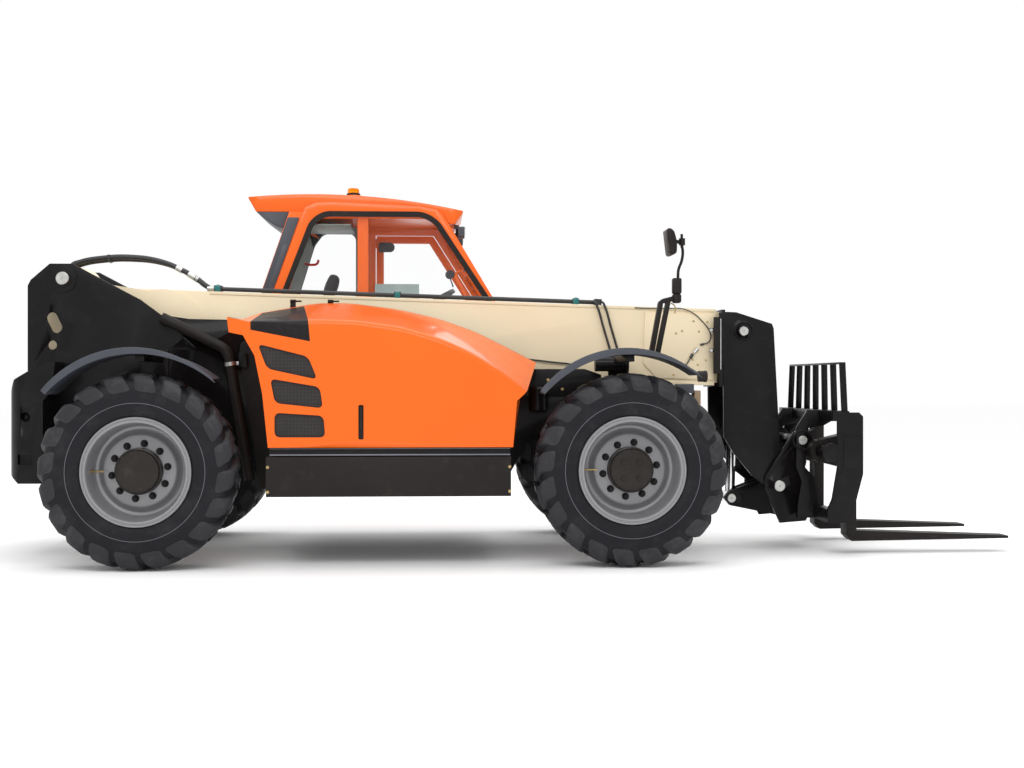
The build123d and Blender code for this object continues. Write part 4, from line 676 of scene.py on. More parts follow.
# %% Hood
pod_outer, pod_inner, hood_bottom = 1.160, 0.450, 0.786
split_spot = Vector(at(1.097, -pod_outer, 1.480))  # the smoked panel ends on a leaning line
split_normal = Vector((1, 0.112, 0.088)).normalized()
sill_spot = Vector(at(0.722, 0, 1.545))  # on its lower edge
sill_normal = Vector((0.19, 0, 0.98))
panel_rear, panel_inner = rear_x + 0.716, -0.50
hood_outer = [  # from the rear axle and the ground, beside the wheel side
    (0.828, hood_bottom), (0.792, 1.130), (0.742, 1.380), (0.668, 1.512), (0.578, 1.530), (0.566, 1.628),
    (0.700, 1.600), (1.129, 1.612), (1.400, 1.604), (1.676, 1.566), (1.940, 1.490), (2.130, 1.405),
    (2.330, 1.280), (2.500, 1.146), (2.436, 1.088), (2.410, hood_bottom),
]
hood_inner = [  # beside the boom
    (0.828, hood_bottom), (0.792, 1.130), (0.742, 1.380), (0.668, 1.518), (0.578, 1.536), (0.572, 1.642),
    (0.700, 1.690), (1.070, 1.757), (1.314, 1.759), (1.650, 1.717), (1.940, 1.650), (2.190, 1.560),
    (2.440, 1.436), (2.613, 1.345), (2.520, 1.206), (2.410, hood_bottom),
]
grille_openings = [
    [(0.762, 1.456), (1.085, 1.374), (1.145, 1.226), (0.822, 1.296)],
    [(0.842, 1.232), (1.160, 1.178), (1.181, 1.040), (0.872, 1.074)],
    [(0.870, 1.012), (1.184, 0.992), (1.196, 0.852), (0.870, 0.853)],
]
latch_opening = [(1.408, 1.062), (1.442, 1.062), (1.442, 0.838), (1.408, 0.838)]


def hood_mesh():
    """The hood as one open sheet, which a modifier then thickens."""
    bm = bmesh.new()
    flank = bm.faces.new([bm.verts.new((rear_x + x, -pod_outer, z)) for x, z in hood_outer])
    grown = bmesh.ops.extrude_face_region(bm, geom=[flank], use_keep_orig=True)["geom"]
    cap = [g for g in grown if isinstance(g, bmesh.types.BMFace)][0]
    for vert, (x, z) in zip(cap.verts, hood_inner):
        vert.co = (rear_x + x, -pod_inner, z)
    low = [f for f in bm.faces if all(v.co.z < hood_bottom + 0.001 for v in f.verts)]
    bmesh.ops.delete(bm, geom=[cap] + low, context="FACES_ONLY")
    # the bends along the crown, then the long shoulder, then every other edge
    rounded(bm, [e for e in bm.edges if abs(e.verts[0].co.y - e.verts[1].co.y) > 0.5
                 and e.is_manifold and min(v.co.z for v in e.verts) > 1.25
                 and min(v.co.x for v in e.verts) > rear_x + 1.0], 0.06, 3)
    flank = [f for f in bm.faces if all(v.co.y < -pod_outer + 0.001 for v in f.verts)][0]
    rounded(bm, [e for e in flank.edges if min(v.co.z for v in e.verts) > 1.14
                 and min(v.co.x for v in e.verts) > rear_x + 0.69], 0.085, 7)
    rounded(bm, [e for e in bm.edges if e.is_manifold and e.calc_face_angle() > 0.6], 0.018, 3)
    flank = max((f for f in bm.faces if all(v.co.y < -pod_outer + 0.001 for v in f.verts)),
                key=lambda f: f.calc_area())
    loops = flank.edges[:]
    bmesh.ops.delete(bm, geom=[flank], context="FACES_ONLY")
    walls = []
    for corners in grille_openings + [latch_opening]:
        hole = bm.faces.new([bm.verts.new((rear_x + x, -pod_outer, z)) for x, z in corners])
        corner = 0.010 if corners == latch_opening else 0.034
        bmesh.ops.bevel(bm, geom=hole.verts[:], offset=corner, segments=4, profile=0.5,
                        affect="VERTICES", material=-1)
        hole = max((f for f in bm.faces if not any(len(e.link_faces) > 1 for e in f.edges)),
                   key=lambda f: f.calc_area())
        walls += hole.edges[:]
        bmesh.ops.delete(bm, geom=[hole], context="FACES_ONLY")
    bmesh.ops.triangle_fill(bm, edges=loops + walls, use_beauty=True, use_dissolve=False, normal=(0, -1, 0))
    deep = bmesh.ops.extrude_edge_only(bm, edges=walls)["geom"]
    bmesh.ops.translate(bm, vec=(0, 0.018, 0), verts=[g for g in deep if isinstance(g, bmesh.types.BMVert)])
    # the smoked panel's lower edge, its front, its inner end and its rear
    for spot, normal in ((sill_spot, sill_normal), (split_spot, split_normal),
                         ((0, panel_inner, 0), (0, 1, 0)), ((panel_rear, 0, 0), (1, 0, 0))):
        bmesh.ops.bisect_plane(
            bm, geom=bm.verts[:] + bm.edges[:] + bm.faces[:], dist=1e-5, plane_co=spot, plane_no=normal
        )
    bmesh.ops.recalc_face_normals(bm, faces=bm.faces)
    for f in bm.faces:
        spot = f.calc_center_median()
        above = (spot - sill_spot).dot(sill_normal) > 0
        behind = (spot - split_spot).dot(split_normal) < 0
        if panel_rear < spot.x and behind and above and spot.y < panel_inner and abs(f.normal.x) < 0.8:
            f.material_index = 1
    return bm


hood = piece("hood_moulded", hood_mesh(), orange, "hood", 34, ("hood_shell",))
hood.data.materials.append(smoked)
wall = hood.modifiers.new("wall", "SOLIDIFY")
wall.thickness = 0.012
wall.offset = -1

# latch: a dark slot with a pull handle in it
bm = bmesh.new()
block(bm, at(1.404, -pod_outer + 0.016, 0.834), at(1.446, -pod_outer + 0.022, 1.066))
block(bm, at(1.414, -pod_outer + 0.004, 0.905), at(1.436, -pod_outer + 0.018, 1.050), 0.004)
piece("hood_latch", bm, satin, "hood", 32)
print("hood faces", len(hood.data.polygons))

# %% [markdown]
# The cab's window sits in a thick black rubber gasket inside the orange arch,
# and the rear pillar wears a black moulded cover with a pressed panel. Each is
# a flat outline, rounded at its corners and given a depth by an extrusion. The
# gasket also gets its rim by an inset that runs outward.

# %% Plates and rings
def outline(bm, points, y, corner=0.0, segments=5, chosen=None):
    """A face at a y value from (x, z) points from the rear axle, with rounded corners."""
    face = bm.faces.new([bm.verts.new((rear_x + x, y, z)) for x, z in points])
    if corner:
        picked = [v for v in face.verts if chosen is None or chosen(v.co)]
        bmesh.ops.bevel(bm, geom=picked, offset=corner, segments=segments, profile=0.5,
                        affect="VERTICES", material=-1)
        face = max(bm.faces, key=lambda f: f.calc_area())
    return face


def thick(bm, faces, depth):
    """Extrudes flat faces along Y and closes the solid."""
    grown = bmesh.ops.extrude_face_region(bm, geom=faces, use_keep_orig=True)["geom"]
    bmesh.ops.translate(bm, vec=(0, depth, 0), verts=[g for g in grown if isinstance(g, bmesh.types.BMVert)])
    bmesh.ops.recalc_face_normals(bm, faces=bm.faces)


def ring(points, y, width, depth, corner, chosen=None):
    """A flat ring outside an outline, such as a gasket round a window."""
    bm = bmesh.new()
    face = outline(bm, points, y, corner, 8, chosen)
    band = bmesh.ops.inset_region(
        bm, faces=[face], thickness=-width, use_boundary=True, use_even_offset=False
    )["faces"]
    bmesh.ops.delete(bm, geom=[face], context="FACES_ONLY")
    thick(bm, band, depth)
    return bm


def plate(points, y, depth, corner):
    """A flat plate with rounded corners and edges."""
    bm = bmesh.new()
    thick(bm, [outline(bm, points, y, corner)], depth)
    rounded(bm, [e for e in bm.edges if e.is_manifold and e.calc_face_angle() > 0.9], 0.002)
    return bm


cab_side = 0.418  # outer face of the arch beside the boom
window_corners = [
    (0.700, 1.640), (1.018, 2.462), (1.870, 2.462), (2.274, 1.849), (2.380, 1.660), (2.380, 1.560),
    (0.700, 1.560),
]
piece("cab_gasket", ring(window_corners, cab_side - 0.003, 0.042, 0.006, 0.10, lambda c: c.z > 2.3),
      satin, "chassis")
cab_plates = [  # name, corners, y, depth, corner radius
    ("pillar_cover", [(0.584, 1.56), (0.604, 1.898), (0.797, 2.455), (0.884, 2.455), (0.688, 1.905),
                      (0.600, 1.66)], 0.4235, 0.006, 0.01),
    ("pillar_panel", [(0.625, 1.70), (0.640, 1.91), (0.76, 2.25), (0.80, 2.25), (0.675, 1.91), (0.64, 1.75)],
     0.4215, 0.003, 0.01),
    ("roof_housing", [(0.558, 2.4985), (0.606, 2.4600), (0.698, 2.3920), (0.769, 2.3710), (0.815, 2.4985)],
     0.448, 0.755, 0.004),
]
for name, corners, y, depth, corner in cab_plates:
    piece(name, plate(corners, y, depth, corner), plastic, "chassis")

# gasket round the far quarter window, seen through the cab
far_side = 1.224
quarter_corners = [
    (0.775, 1.615), (0.822, 1.945), (0.938, 2.318), (1.008, 2.41), (1.270, 2.41), (1.270, 1.615),
]
piece("quarter_gasket", ring(quarter_corners, far_side - 0.003, 0.030, 0.006, 0.03),
      hose, "chassis")

# %% [markdown]
# Inside the cab: a hooped handle and a red coat hook near the pillars, a dark
# round latch by the door's window and a small fan. They show through the glass
# as thin dark shapes. Their places are measured from the rear axle.

# %% Small tubes, hoses and handles
def tube(name, points, radius, material, body, sides=5):
    """A round tube through points from the rear axle, smooth in its bends."""
    curve = bpy.data.curves.new(name, "CURVE")
    curve.dimensions = "3D"
    curve.bevel_depth = radius
    curve.bevel_resolution = sides
    curve.use_fill_caps = True
    curve.resolution_u = 10
    spline = curve.splines.new("BEZIER")
    spline.bezier_points.add(len(points) - 1)
    for knot, place in zip(spline.bezier_points, points):
        knot.co = at(*place)
        knot.handle_left_type = knot.handle_right_type = "AUTO"
    carrier = bpy.data.objects.new(name + "_line", curve)
    scene.collection.objects.link(carrier)
    bpy.context.view_layer.update()
    mesh = bpy.data.meshes.new_from_object(carrier.evaluated_get(bpy.context.evaluated_depsgraph_get()))
    bpy.data.objects.remove(carrier)
    bm = bmesh.new()
    bm.from_mesh(mesh)
    bmesh.ops.remove_doubles(bm, verts=bm.verts, dist=1e-5)
    bmesh.ops.recalc_face_normals(bm, faces=bm.faces)
    return piece(name, bm, material, body, 50)


tube("cab_handle", [(2.22, 0.52, 1.66), (2.16, 0.52, 1.82), (2.10, 0.52, 1.95), (2.07, 0.52, 2.02),
                    (2.10, 0.50, 2.06), (2.145, 0.49, 2.02)], 0.011, orange, "chassis")
tube("coat_hook", [(0.86, 1.150, 2.165), (0.92, 1.14, 2.155), (0.96, 1.14, 2.165), (0.972, 1.14, 2.195)],
     0.010, red_lens, "chassis")
bm = bmesh.new()
block(bm, at(1.455, 1.150, 2.262), at(1.545, 1.168, 2.340), 0.016)
rod(bm, at(1.545, 1.168, 2.301), (0, -1, 0), 0.039, 0.020, 24)
piece("door_latch", bm, plastic, "door")
bm = bmesh.new()
rod(bm, at(2.02, 0.62, 2.04), (0.3, -1, 0.1), 0.034, 0.03, 20)
rod(bm, at(2.02, 0.635, 2.03), (0.9, 0.1, 0.35), 0.006, 0.13, 10)
rod(bm, at(2.02, 0.62, 2.03), (0.35, 0, -1), 0.005, 0.09, 8)
piece("cab_fan", bm, plastic, "chassis")

# %% [markdown]
# The steering wheel is a spun rim on three spokes. The seat has crowned pads on
# a steel frame. Behind it the cab is lined in pale grey-green plastic, and a
# pale panel stands low in the door's window.

# %% Steering wheel and seat
seat_y = 0.8255
bm = bmesh.new()
verts = bmesh.ops.create_circle(bm, segments=12, radius=0.014)["verts"]
bmesh.ops.rotate(bm, cent=(0, 0, 0), matrix=Matrix.Rotation(pi / 2, 3, "X"), verts=verts)
bmesh.ops.translate(bm, vec=(0.178, 0, 0), verts=verts)
bmesh.ops.spin(bm, geom=bm.verts[:] + bm.edges[:], cent=(0, 0, 0), axis=(0, 0, 1), angle=2 * pi,
               steps=48, use_merge=True)
rod(bm, (0, 0, -0.012), (0, 0, 1), 0.042, 0.026, 24)
for turn in (0, 2 * pi / 3, 4 * pi / 3):
    spoke = block(bm, (0.03, -0.012, -0.004), (0.172, 0.012, 0.004), 0.003)
    bmesh.ops.rotate(bm, cent=(0, 0, 0), matrix=Matrix.Rotation(turn, 3, "Z"), verts=spoke)
rod(bm, (0, 0, -0.33), (0, 0, 1), 0.026, 0.33, 16)
moved(bm, bm.verts, at(1.90, seat_y, 1.835), toward((-0.5, 0, 0.866)))
piece("steering_wheel", bm, plastic, "chassis", 45)


def cushion(name, low, high, crown, turn=0.0, about=None):
    """A crowned closed pad: a subdivided block, full in the middle and drawn in at its seams."""
    bm = bmesh.new()
    block(bm, low, high)
    bmesh.ops.subdivide_edges(bm, edges=bm.edges[:], cuts=9, use_grid_fill=True)
    centre = Vector([(l + h) / 2 for l, h in zip(low, high)])
    half = Vector([(h - l) / 2 for l, h in zip(low, high)])
    for v in bm.verts:
        part = Vector([(v.co[i] - centre[i]) / half[i] for i in range(3)])
        for i in range(3):
            j, k = [n for n in range(3) if n != i]
            v.co[i] += crown * part[i] * (1 - part[j] ** 2) * (1 - part[k] ** 2) - 0.35 * crown * part[i] * (
                part[j] ** 4 + part[k] ** 4)
    if turn:
        bmesh.ops.rotate(bm, cent=about, matrix=Matrix.Rotation(turn, 3, "Y"), verts=bm.verts)
    bmesh.ops.recalc_face_normals(bm, faces=bm.faces)
    made = piece(name, bm, fabric, "chassis", 60)
    return made


base = cushion("seat_base_pad", at(1.13, seat_y - 0.23, 1.285), at(1.64, seat_y + 0.23, 1.385), 0.018)
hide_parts("seat")
cushion("seat_back_pad", at(1.03, seat_y - 0.22, 1.375), at(1.12, seat_y + 0.22, 1.865), 0.016,
        -0.10, at(1.07, seat_y, 1.375))
cushion("head_pad", at(1.03, seat_y - 0.12, 1.875), at(1.105, seat_y + 0.12, 2.05), 0.012,
        0.35, at(1.065, seat_y, 1.875))
bm = bmesh.new()
block(bm, at(1.12, seat_y - 0.19, 1.235), at(1.62, seat_y + 0.19, 1.283), 0.008)
block(bm, at(1.15, seat_y - 0.18, 0.826), at(1.52, seat_y + 0.18, 0.90), 0.008)
for x in (1.18, 1.48):
    block(bm, at(x, seat_y - 0.17, 0.90), at(x + 0.03, seat_y + 0.17, 1.235), 0.004)
rod(bm, at(1.33, seat_y, 0.90), (0, 0, 1), 0.06, 0.335, 20)
piece("seat_frame", bm, satin, "chassis")

# the linings and the door's panel
piece("quarter_lining", ring(quarter_corners, 1.170, 0.085, 0.005, 0.06, lambda c: c.z > 2.3),
      lining, "chassis")
block_piece("door_pocket", (1.425, 1.125, 1.70), (1.782, 1.150, 2.003), 0.006,
            pocket_blue, "door")
block_piece("headliner", (0.86, 0.47, 2.404), (1.268, 1.165, 2.412), 0.003,
            lining, "chassis")

# %% [markdown]
# Pins. Every joint of the boom and the forks turns on a plated steel pin that
# shows its bright end at the plates. A pin has a chamfered rim and a small
# centre hole from the lathe, so it is spun from a short profile. Some sit in a
# dark collar, and two are stopped from turning by a keeper plate with a screw.

# %% Pins and keepers
def near_face(node, x, z, reach, hand):
    """How far out on one side a node's face stands at a place, from its own points."""
    return hand * max(hand * v.co.y for v in nodes[node].data.vertices
                      if hypot(v.co.x - x, v.co.z - z) < reach)


def spun(bm, profile, place, axis, steps=40, closed=False):
    """Spins (radius, how far along) points about an axis through a place."""
    part = bmesh.new()
    lathe(part, profile, steps, closed)
    turn = toward(axis) @ Vector((0, -1, 0)).rotation_difference(Vector((0, 0, 1))).to_matrix()
    bmesh.ops.transform(part, matrix=Matrix.Translation(place) @ turn.to_4x4(), verts=part.verts)
    joined(bm, part)


pins = [  # name, node, body, x from the rear axle, z, pin, collar (0 for none), keeper's direction or None
    ("boom_pivot", "chassis_frame", "chassis", -0.660, 1.925, 0.045, 0.0, None),
    ("lift_base", "chassis_frame", "chassis", -0.200, 1.322, 0.036, 0.0, None),
    ("tilt_base", "boom_head", "telescope", 4.117, 1.575, 0.034, 0.069, None),
    ("coupler_pivot", "coupler", "fork_head", 4.371, 0.466, 0.040, 0.0, 0.6),
    ("tilt_eye", "coupler", "fork_head", 4.081, 0.358, 0.033, 0.0, 0.0),
    ("hook", "carriage", "fork_head", 4.531, 0.794, 0.033, 0.074, None),
    ("lock", "carriage", "fork_head", 4.539, 0.286, 0.032, 0.044, None),
]
for name, node, body, x, z, radius, collar, keeper in pins:
    ends, rings = bmesh.new(), bmesh.new()
    for hand in (-1, 1):
        face = near_face(node, rear_x + x, z, 0.115 if name == "boom_pivot" else 0.055, hand)
        place, out = at(x, face, z), (0, hand, 0)
        spun(ends, [(0, 0.003), (0.005, 0.003), (0.007, 0.006), (radius - 0.004, 0.006), (radius, 0.002),
                    (radius, -0.010), (0, -0.010)], place, out)
        if collar:
            inner, outer = collar - 0.012, collar + 0.002
            spun(rings, [(inner, -0.004), (inner, 0.003), (inner + 0.003, 0.006), (outer - 0.004, 0.006),
                         (outer, 0.002), (outer, -0.004)], place, out, closed=True)
        if keeper is not None:
            spot = at(x + (radius + 0.014) * cos(keeper), face, z + (radius + 0.014) * sin(keeper))
            verts = block(rings, (-0.030, -0.004, -0.034), (0.030, 0.004, 0.034), 0.002)
            moved(rings, verts, spot, Matrix.Rotation(-keeper * 0.6, 3, "Y"))
            bolt(rings, (spot[0] + 0.012, spot[1] + 0.004 * hand, spot[2] + 0.018), out, 0.008, 0.006)
    piece(f"{name}_pin_ends", ends, pin_steel, body)
    if len(rings.verts):
        piece(f"{name}_collars", rings, black, body)
    else:
        rings.free()
print("pins:", len(pins))

# %% [markdown]
# The boom is a folded box with a welded flange along its top and bottom edges.
# Its own axis droops a little at rest, so pieces for it are made along that
# axis first and then turned and set at its pivot.

# %% Boom flanges and clamps
hose_ys = (-0.200, -0.150)
boom_seat = Matrix.Translation(at(-0.660, 0, 1.925)) @ Matrix.Rotation(radians(1.84), 4, "Y")
flange_in, flange_out = 0.229, 0.235


def on_boom(bm):
    """Takes pieces made along the boom's own axis to their place."""
    bmesh.ops.transform(bm, matrix=boom_seat, verts=bm.verts)
    return bm


def boom_point(u, y, w):
    """A place along the boom, across it and above its axis."""
    return tuple(boom_seat @ Vector((u, y, w)))


bm = bmesh.new()
for low, high in ((-0.0635, -0.0415), (-0.5925, -0.568)):
    for hand in (-1, 1):
        ys = sorted((hand * flange_in, hand * flange_out))
        block(bm, (0.975 if high > -0.1 else -0.14, ys[0], low), (4.588, ys[1], high), 0.002)
piece("boom_flanges", on_boom(bm), cream, "boom")

bm = bmesh.new()
screws = bmesh.new()
for u in (1.030, 2.300, 3.580):
    block(bm, (u - 0.021, -0.2315, -0.041), (u + 0.021, -0.1185, 0.004), 0.005)
    for y in (-0.218, -0.175, -0.132):
        bolt(screws, (u, y, 0.004), (0, 0, 1), 0.007, 0.007)
piece("tube_clamps", on_boom(bm), teal, "boom")
piece("clamp_screws", on_boom(screws), pin_steel, "boom")

# %% [markdown]
# The hoses from the chassis end in crimped ferrules and hexagon swivels where
# they meet the steel tubes, with a second joint in the slope of the hose.

# %% Hose fittings
bm = bmesh.new()
for y in hose_ys:
    rod(bm, boom_point(0.955, y, -0.0195), (1, 0, -0.03), 0.0215, 0.038, 20)
    rod(bm, boom_point(0.993, y, -0.0200), (1, 0, -0.03), 0.024, 0.020, 6)
    rod(bm, at(0.075, y, 2.0235), (0.87, 0, -0.49), 0.0215, 0.045, 20)
    rod(bm, at(0.160, y, 1.978), (0.85, 0, -0.53), 0.0215, 0.055, 20)
    rod(bm, at(0.210, y, 1.947), (0.85, 0, -0.53), 0.025, 0.022, 6)
piece("hose_ferrules", bm, pin_steel, "boom")
block_piece("hose_band", (-0.402, -0.222, 2.056), (-0.384, -0.128, 2.110), 0.004,
            hose, "boom")

# %% [markdown]
# Near the front clamp two steel tubes bend down the boom's side. Their line is
# a few points on a smooth curve, close together at the bend and far apart where
# the tube is straight. A thin cable crosses the side plate to its plug.

# %% Down tubes and cable
line_y = -0.252
for number, lean in enumerate((0.0, 0.055)):
    x = 3.063 + lean
    tube(f"down_tube_{number}", [(x - 0.075, -0.150 - 0.05 * number, 1.786 - lean * 0.03),
                                 (x - 0.035, -0.200, 1.789 - lean * 0.03), (x - 0.008, line_y + 0.006, 1.779),
                                 (x + 0.006, line_y, 1.750), (x + 0.050, line_y, 1.600),
                                 (x + 0.095, line_y, 1.448), (x + 0.130, line_y, 1.330)],
         0.0085, hose, "boom")
block_piece("tube_manifold", (3.165, -0.275, 1.300), (3.275, -0.231, 1.345), 0.006,
            satin, "boom")
tube("boom_cable", [(3.34, -0.240, 1.744), (3.445, -0.246, 1.740), (3.60, -0.248, 1.741),
                    (3.685, -0.250, 1.737), (3.769, -0.250, 1.701), (3.834, -0.250, 1.642),
                    (3.876, -0.250, 1.587), (3.890, -0.250, 1.532), (3.871, -0.250, 1.495),
                    (3.820, -0.250, 1.481)],
     0.0038, hose, "boom")
bm = bmesh.new()
rod(bm, at(3.838, -0.250, 1.484), (-1, 0, -0.3), 0.008, 0.024, 12)
rod(bm, at(3.762, -0.250, 1.412), (-0.55, 0, -0.83), 0.0105, 0.034, 12)
rod(bm, at(3.743, -0.250, 1.384), (-0.5, 0, -0.86), 0.004, 0.085, 10)
piece("cable_plugs", bm, hose, "boom")
bm = bmesh.new()
rod(bm, at(3.800, -0.250, 1.455), (-0.66, 0, -0.75), 0.0115, 0.046, 16)
piece("cable_socket", bm, pin_steel, "boom")

# plugs and screws in the front side plates
bm = bmesh.new()
for x, z in ((3.767, 1.648), (3.866, 1.642), (3.684, 1.577), (3.806, 1.573), (3.857, 1.366),
             (3.797, 1.334), (3.760, 1.371), (3.640, 1.560), (3.621, 1.262)):
    for hand in (-1, 1):
        rod(bm, at(x, hand * 0.2415, z), (0, hand, 0), 0.0085, 0.003, 16, 0.0075)
        rod(bm, at(x, hand * 0.2445, z), (0, hand, 0), 0.005, 0.003, 6)
piece("side_plugs", bm, brass, "boom")

# %% [markdown]
# A wear-pad strip with two screwed ears guards the gap between boom and head,
# and a thin strip of bright steel on the folded edge of the head's side plate is
# a painted highlight along that edge.

# %% Head strip
bm = bmesh.new()
ears = bmesh.new()
for hand in (-1, 1):
    ys = sorted((hand * 0.286, hand * 0.301))
    block(bm, at(3.902, ys[0], 1.270), at(3.952, ys[1], 1.676), 0.004)
    for z in (1.582, 1.437):
        block(bm, at(3.872, ys[0], z - 0.014), at(3.906, ys[1], z + 0.014), 0.004)
        bolt(ears, at(3.883, hand * 0.301, z), (0, hand, 0), 0.009, 0.006)
    # a thin bright steel strip on the folded edge: a painted highlight
    ys = sorted((hand * 0.300, hand * 0.304))
    block(ears, at(3.950, ys[0], 1.300), at(3.956, ys[1], 1.664))
piece("head_strip", bm, satin, "telescope")
piece("head_strip_screws_and_edge_highlight", ears, pin_steel, "telescope")

# %% [markdown]
# The carriage's end plates carry a welded doubler with a bright bead along its
# top. A nose bar closes the frame in front, over a tan cover.

# %% Carriage doublers and nose
bm = bmesh.new()
for hand in (-1, 1):
    ys = sorted((hand * 0.749, hand * 0.7545))
    block(bm, at(4.716, ys[0], 0.612), at(4.846, ys[1], 0.832), 0.002)
    block(bm, at(4.704, ys[0], 0.836), at(4.850, ys[1], 0.845), 0.002)
piece("carriage_doublers", bm, black, "fork_head")
block_piece("nose_bar", (3.620, -0.400, 1.131), (3.742, -0.270, 1.196), 0.006,
            plastic, "chassis")
block_piece("nose_cover", (3.7445, -0.398, 0.960), (3.790, -0.270, 1.150), 0.006,
            tan, "chassis")

# %% [markdown]
# The mirror on the front fender stands on two flat bars. A bent bracket holds a
# two-part sleeve, and a thin bent stalk carries the head, a moulding that holds
# the glass in its back face.

# %% Mirrors
mirror_y = -0.950


def side_plate(bm, points, middle, half, edge):
    """A plate from (x, z) points from the rear axle, so far to each side of a y value."""
    part = bmesh.new()
    thick(part, [outline(part, points, middle - half)], 2 * half)
    if edge:
        rounded(part, part.edges[:], edge)
    joined(bm, part)


bm = bmesh.new()
side_plate(bm, [(3.440, 2.230), (3.466, 2.233), (3.490, 2.213), (3.503, 2.166), (3.509, 2.132),
                (3.507, 2.068), (3.484, 2.055), (3.460, 2.059)], mirror_y, 0.095, 0.012)
rod(bm, at(3.503, mirror_y, 2.152), (1, 0, -0.1), 0.013, 0.050, 16)
rod(bm, at(3.556, mirror_y, 2.126), (0, 0, 1), 0.021, 0.046, 20)
rod(bm, at(3.554, mirror_y, 2.110), (0, 0, 1), 0.009, 0.091, 12)
block(bm, at(3.490, mirror_y - 0.030, 1.800), at(3.550, mirror_y + 0.030, 1.906), 0.010)
piece("mirror_head", bm, satin, "chassis", 50, ("mirror",))
bm = bmesh.new()
side_plate(bm, [(3.4445, 2.215), (3.4425, 2.215), (3.4590, 2.070), (3.4610, 2.070)], mirror_y, 0.084, 0)
piece("mirror_glass", bm, mirror_face, "chassis", 50)
tube("mirror_stalk", [(3.554, mirror_y, 2.135), (3.561, mirror_y, 2.075), (3.553, mirror_y, 2.020),
                      (3.533, mirror_y, 1.965), (3.528, mirror_y, 1.900)],
     0.0095, satin, "chassis")
bm = bmesh.new()
block(bm, at(3.490, mirror_y - 0.029, 1.738), at(3.549, mirror_y + 0.029, 1.8015), 0.014)
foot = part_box("fenders")[1].z
bracket_plates = [  # corners, half width: the yoke, two legs and their foot
    ([(3.391, 1.726), (3.398, 1.748), (3.421, 1.766), (3.492, 1.784), (3.492, 1.750), (3.425, 1.735),
      (3.415, 1.722)], 0.030),
    ([(3.331, foot - 0.041), (3.363, foot - 0.045), (3.424, 1.730), (3.393, 1.730)], 0.030),
    ([(3.372, foot - 0.048), (3.401, foot - 0.056), (3.476, 1.750), (3.446, 1.748)], 0.030),
    ([(3.305, foot - 0.034), (3.455, foot - 0.082), (3.459, foot - 0.070), (3.309, foot - 0.022)], 0.040),
]
for corners, half in bracket_plates:
    side_plate(bm, corners, mirror_y, half, 0.003)
for x in (3.322, 3.440):
    bolt(bm, at(x, mirror_y, foot - 0.026 - (x - 3.309) * 0.32), (0.3, 0, 0.95), 0.011, 0.008)
piece("mirror_bracket", bm, satin, "chassis", 50)
tube("mirror_hook", [(3.478, mirror_y - 0.02, 1.738), (3.500, mirror_y - 0.02, 1.722),
                     (3.508, mirror_y - 0.02, 1.700), (3.503, mirror_y - 0.02, 1.667)],
     0.0045, brass, "chassis")
bm = bmesh.new()
far_x, far_z = 2.560, 1.745
block(bm, at(far_x, 1.071, far_z - 0.105), at(far_x + 0.045, 1.221, far_z + 0.105), 0.016)
side_plate(bm, [(2.441, 1.690), (2.402, 1.760), (2.562, 1.792), (2.562, 1.764)], 1.159, 0.012, 0.003)
piece("far_mirror", bm, satin, "chassis", 50)
bm = bmesh.new()
block(bm, at(far_x - 0.0015, 1.083, far_z - 0.092), at(far_x + 0.001, 1.209, far_z + 0.092), 0)
piece("far_mirror_glass", bm, mirror_face, "chassis", 50)

# %% [markdown]
# Lamps. The CAD housings stay dark. Each gets a lens in front of it: clear for
# work and marker lamps, red for the tail, and the work and marker lamps a dark
# bezel piece as well. The beacon is a low amber dome on a dark foot.

# %% Lamps and beacon
bezels, clears, reds = bmesh.new(), bmesh.new(), bmesh.new()
for y in (0.530, 1.121):
    block(clears, at(2.132, y - 0.047, 2.324), at(2.141, y + 0.047, 2.392), 0.003)
    rod(bezels, at(2.078, y, 2.330), (0, 0, 1), 0.012, 0.070, 12)
for hand in (-1, 1):
    spun(clears, [(0, 0.010), (0.020, 0.008), (0.031, 0.001), (0.031, -0.004), (0, -0.004)],
         (front_x + 0.493, hand * 1.155, 1.247), (1, 0, 0), 32)
    spun(bezels, [(0.0305, -0.052), (0.0305, 0.004), (0.034, 0.006), (0.0385, 0.001), (0.0385, -0.012),
                  (0.0365, -0.014), (0.0365, -0.052)], (front_x + 0.4935, hand * 1.155, 1.247),
         (1, 0, 0), 32, True)
    block(reds, at(-0.9447, hand * 0.560 - 0.037, 0.952), at(-0.9415, hand * 0.560 + 0.037, 1.050), 0.001)
    block(clears, at(-0.9447, hand * 0.560 - 0.037, 1.056), at(-0.9415, hand * 0.560 + 0.037, 1.108), 0.001)
piece("lamp_bezels", bezels, satin, "chassis")
piece("lamp_lenses", clears, lens, "chassis")
piece("tail_lenses", reds, red_lens, "chassis")
beacon_place = at(1.285, 0.540, 2.6365)
bm = bmesh.new()
spun(bm, [(0, 0), (0.052, 0), (0.052, 0.014), (0.047, 0.018), (0.0, 0.018)], beacon_place, (0, 0, 1), 40)
piece("beacon_foot", bm, satin, "chassis")
bm = bmesh.new()
dome = [(0, 0.0181), (0.045, 0.0181)] + [(0.045 - 0.0015 * (n % 2), 0.020 + 0.0038 * n) for n in range(8)]
spun(bm, dome + [(0.036, 0.0545), (0.020, 0.0572), (0, 0.0576)], beacon_place, (0, 0, 1), 40)
piece("beacon_dome", bm, amber, "chassis", replaces=("beacon",))
print("lamps, mirrors and beacon are dressed")

# %% [markdown]
# Perforated plates close the hood's openings from inside. Each is its opening's
# own outline, grown a little so that its rim hides behind the shell.

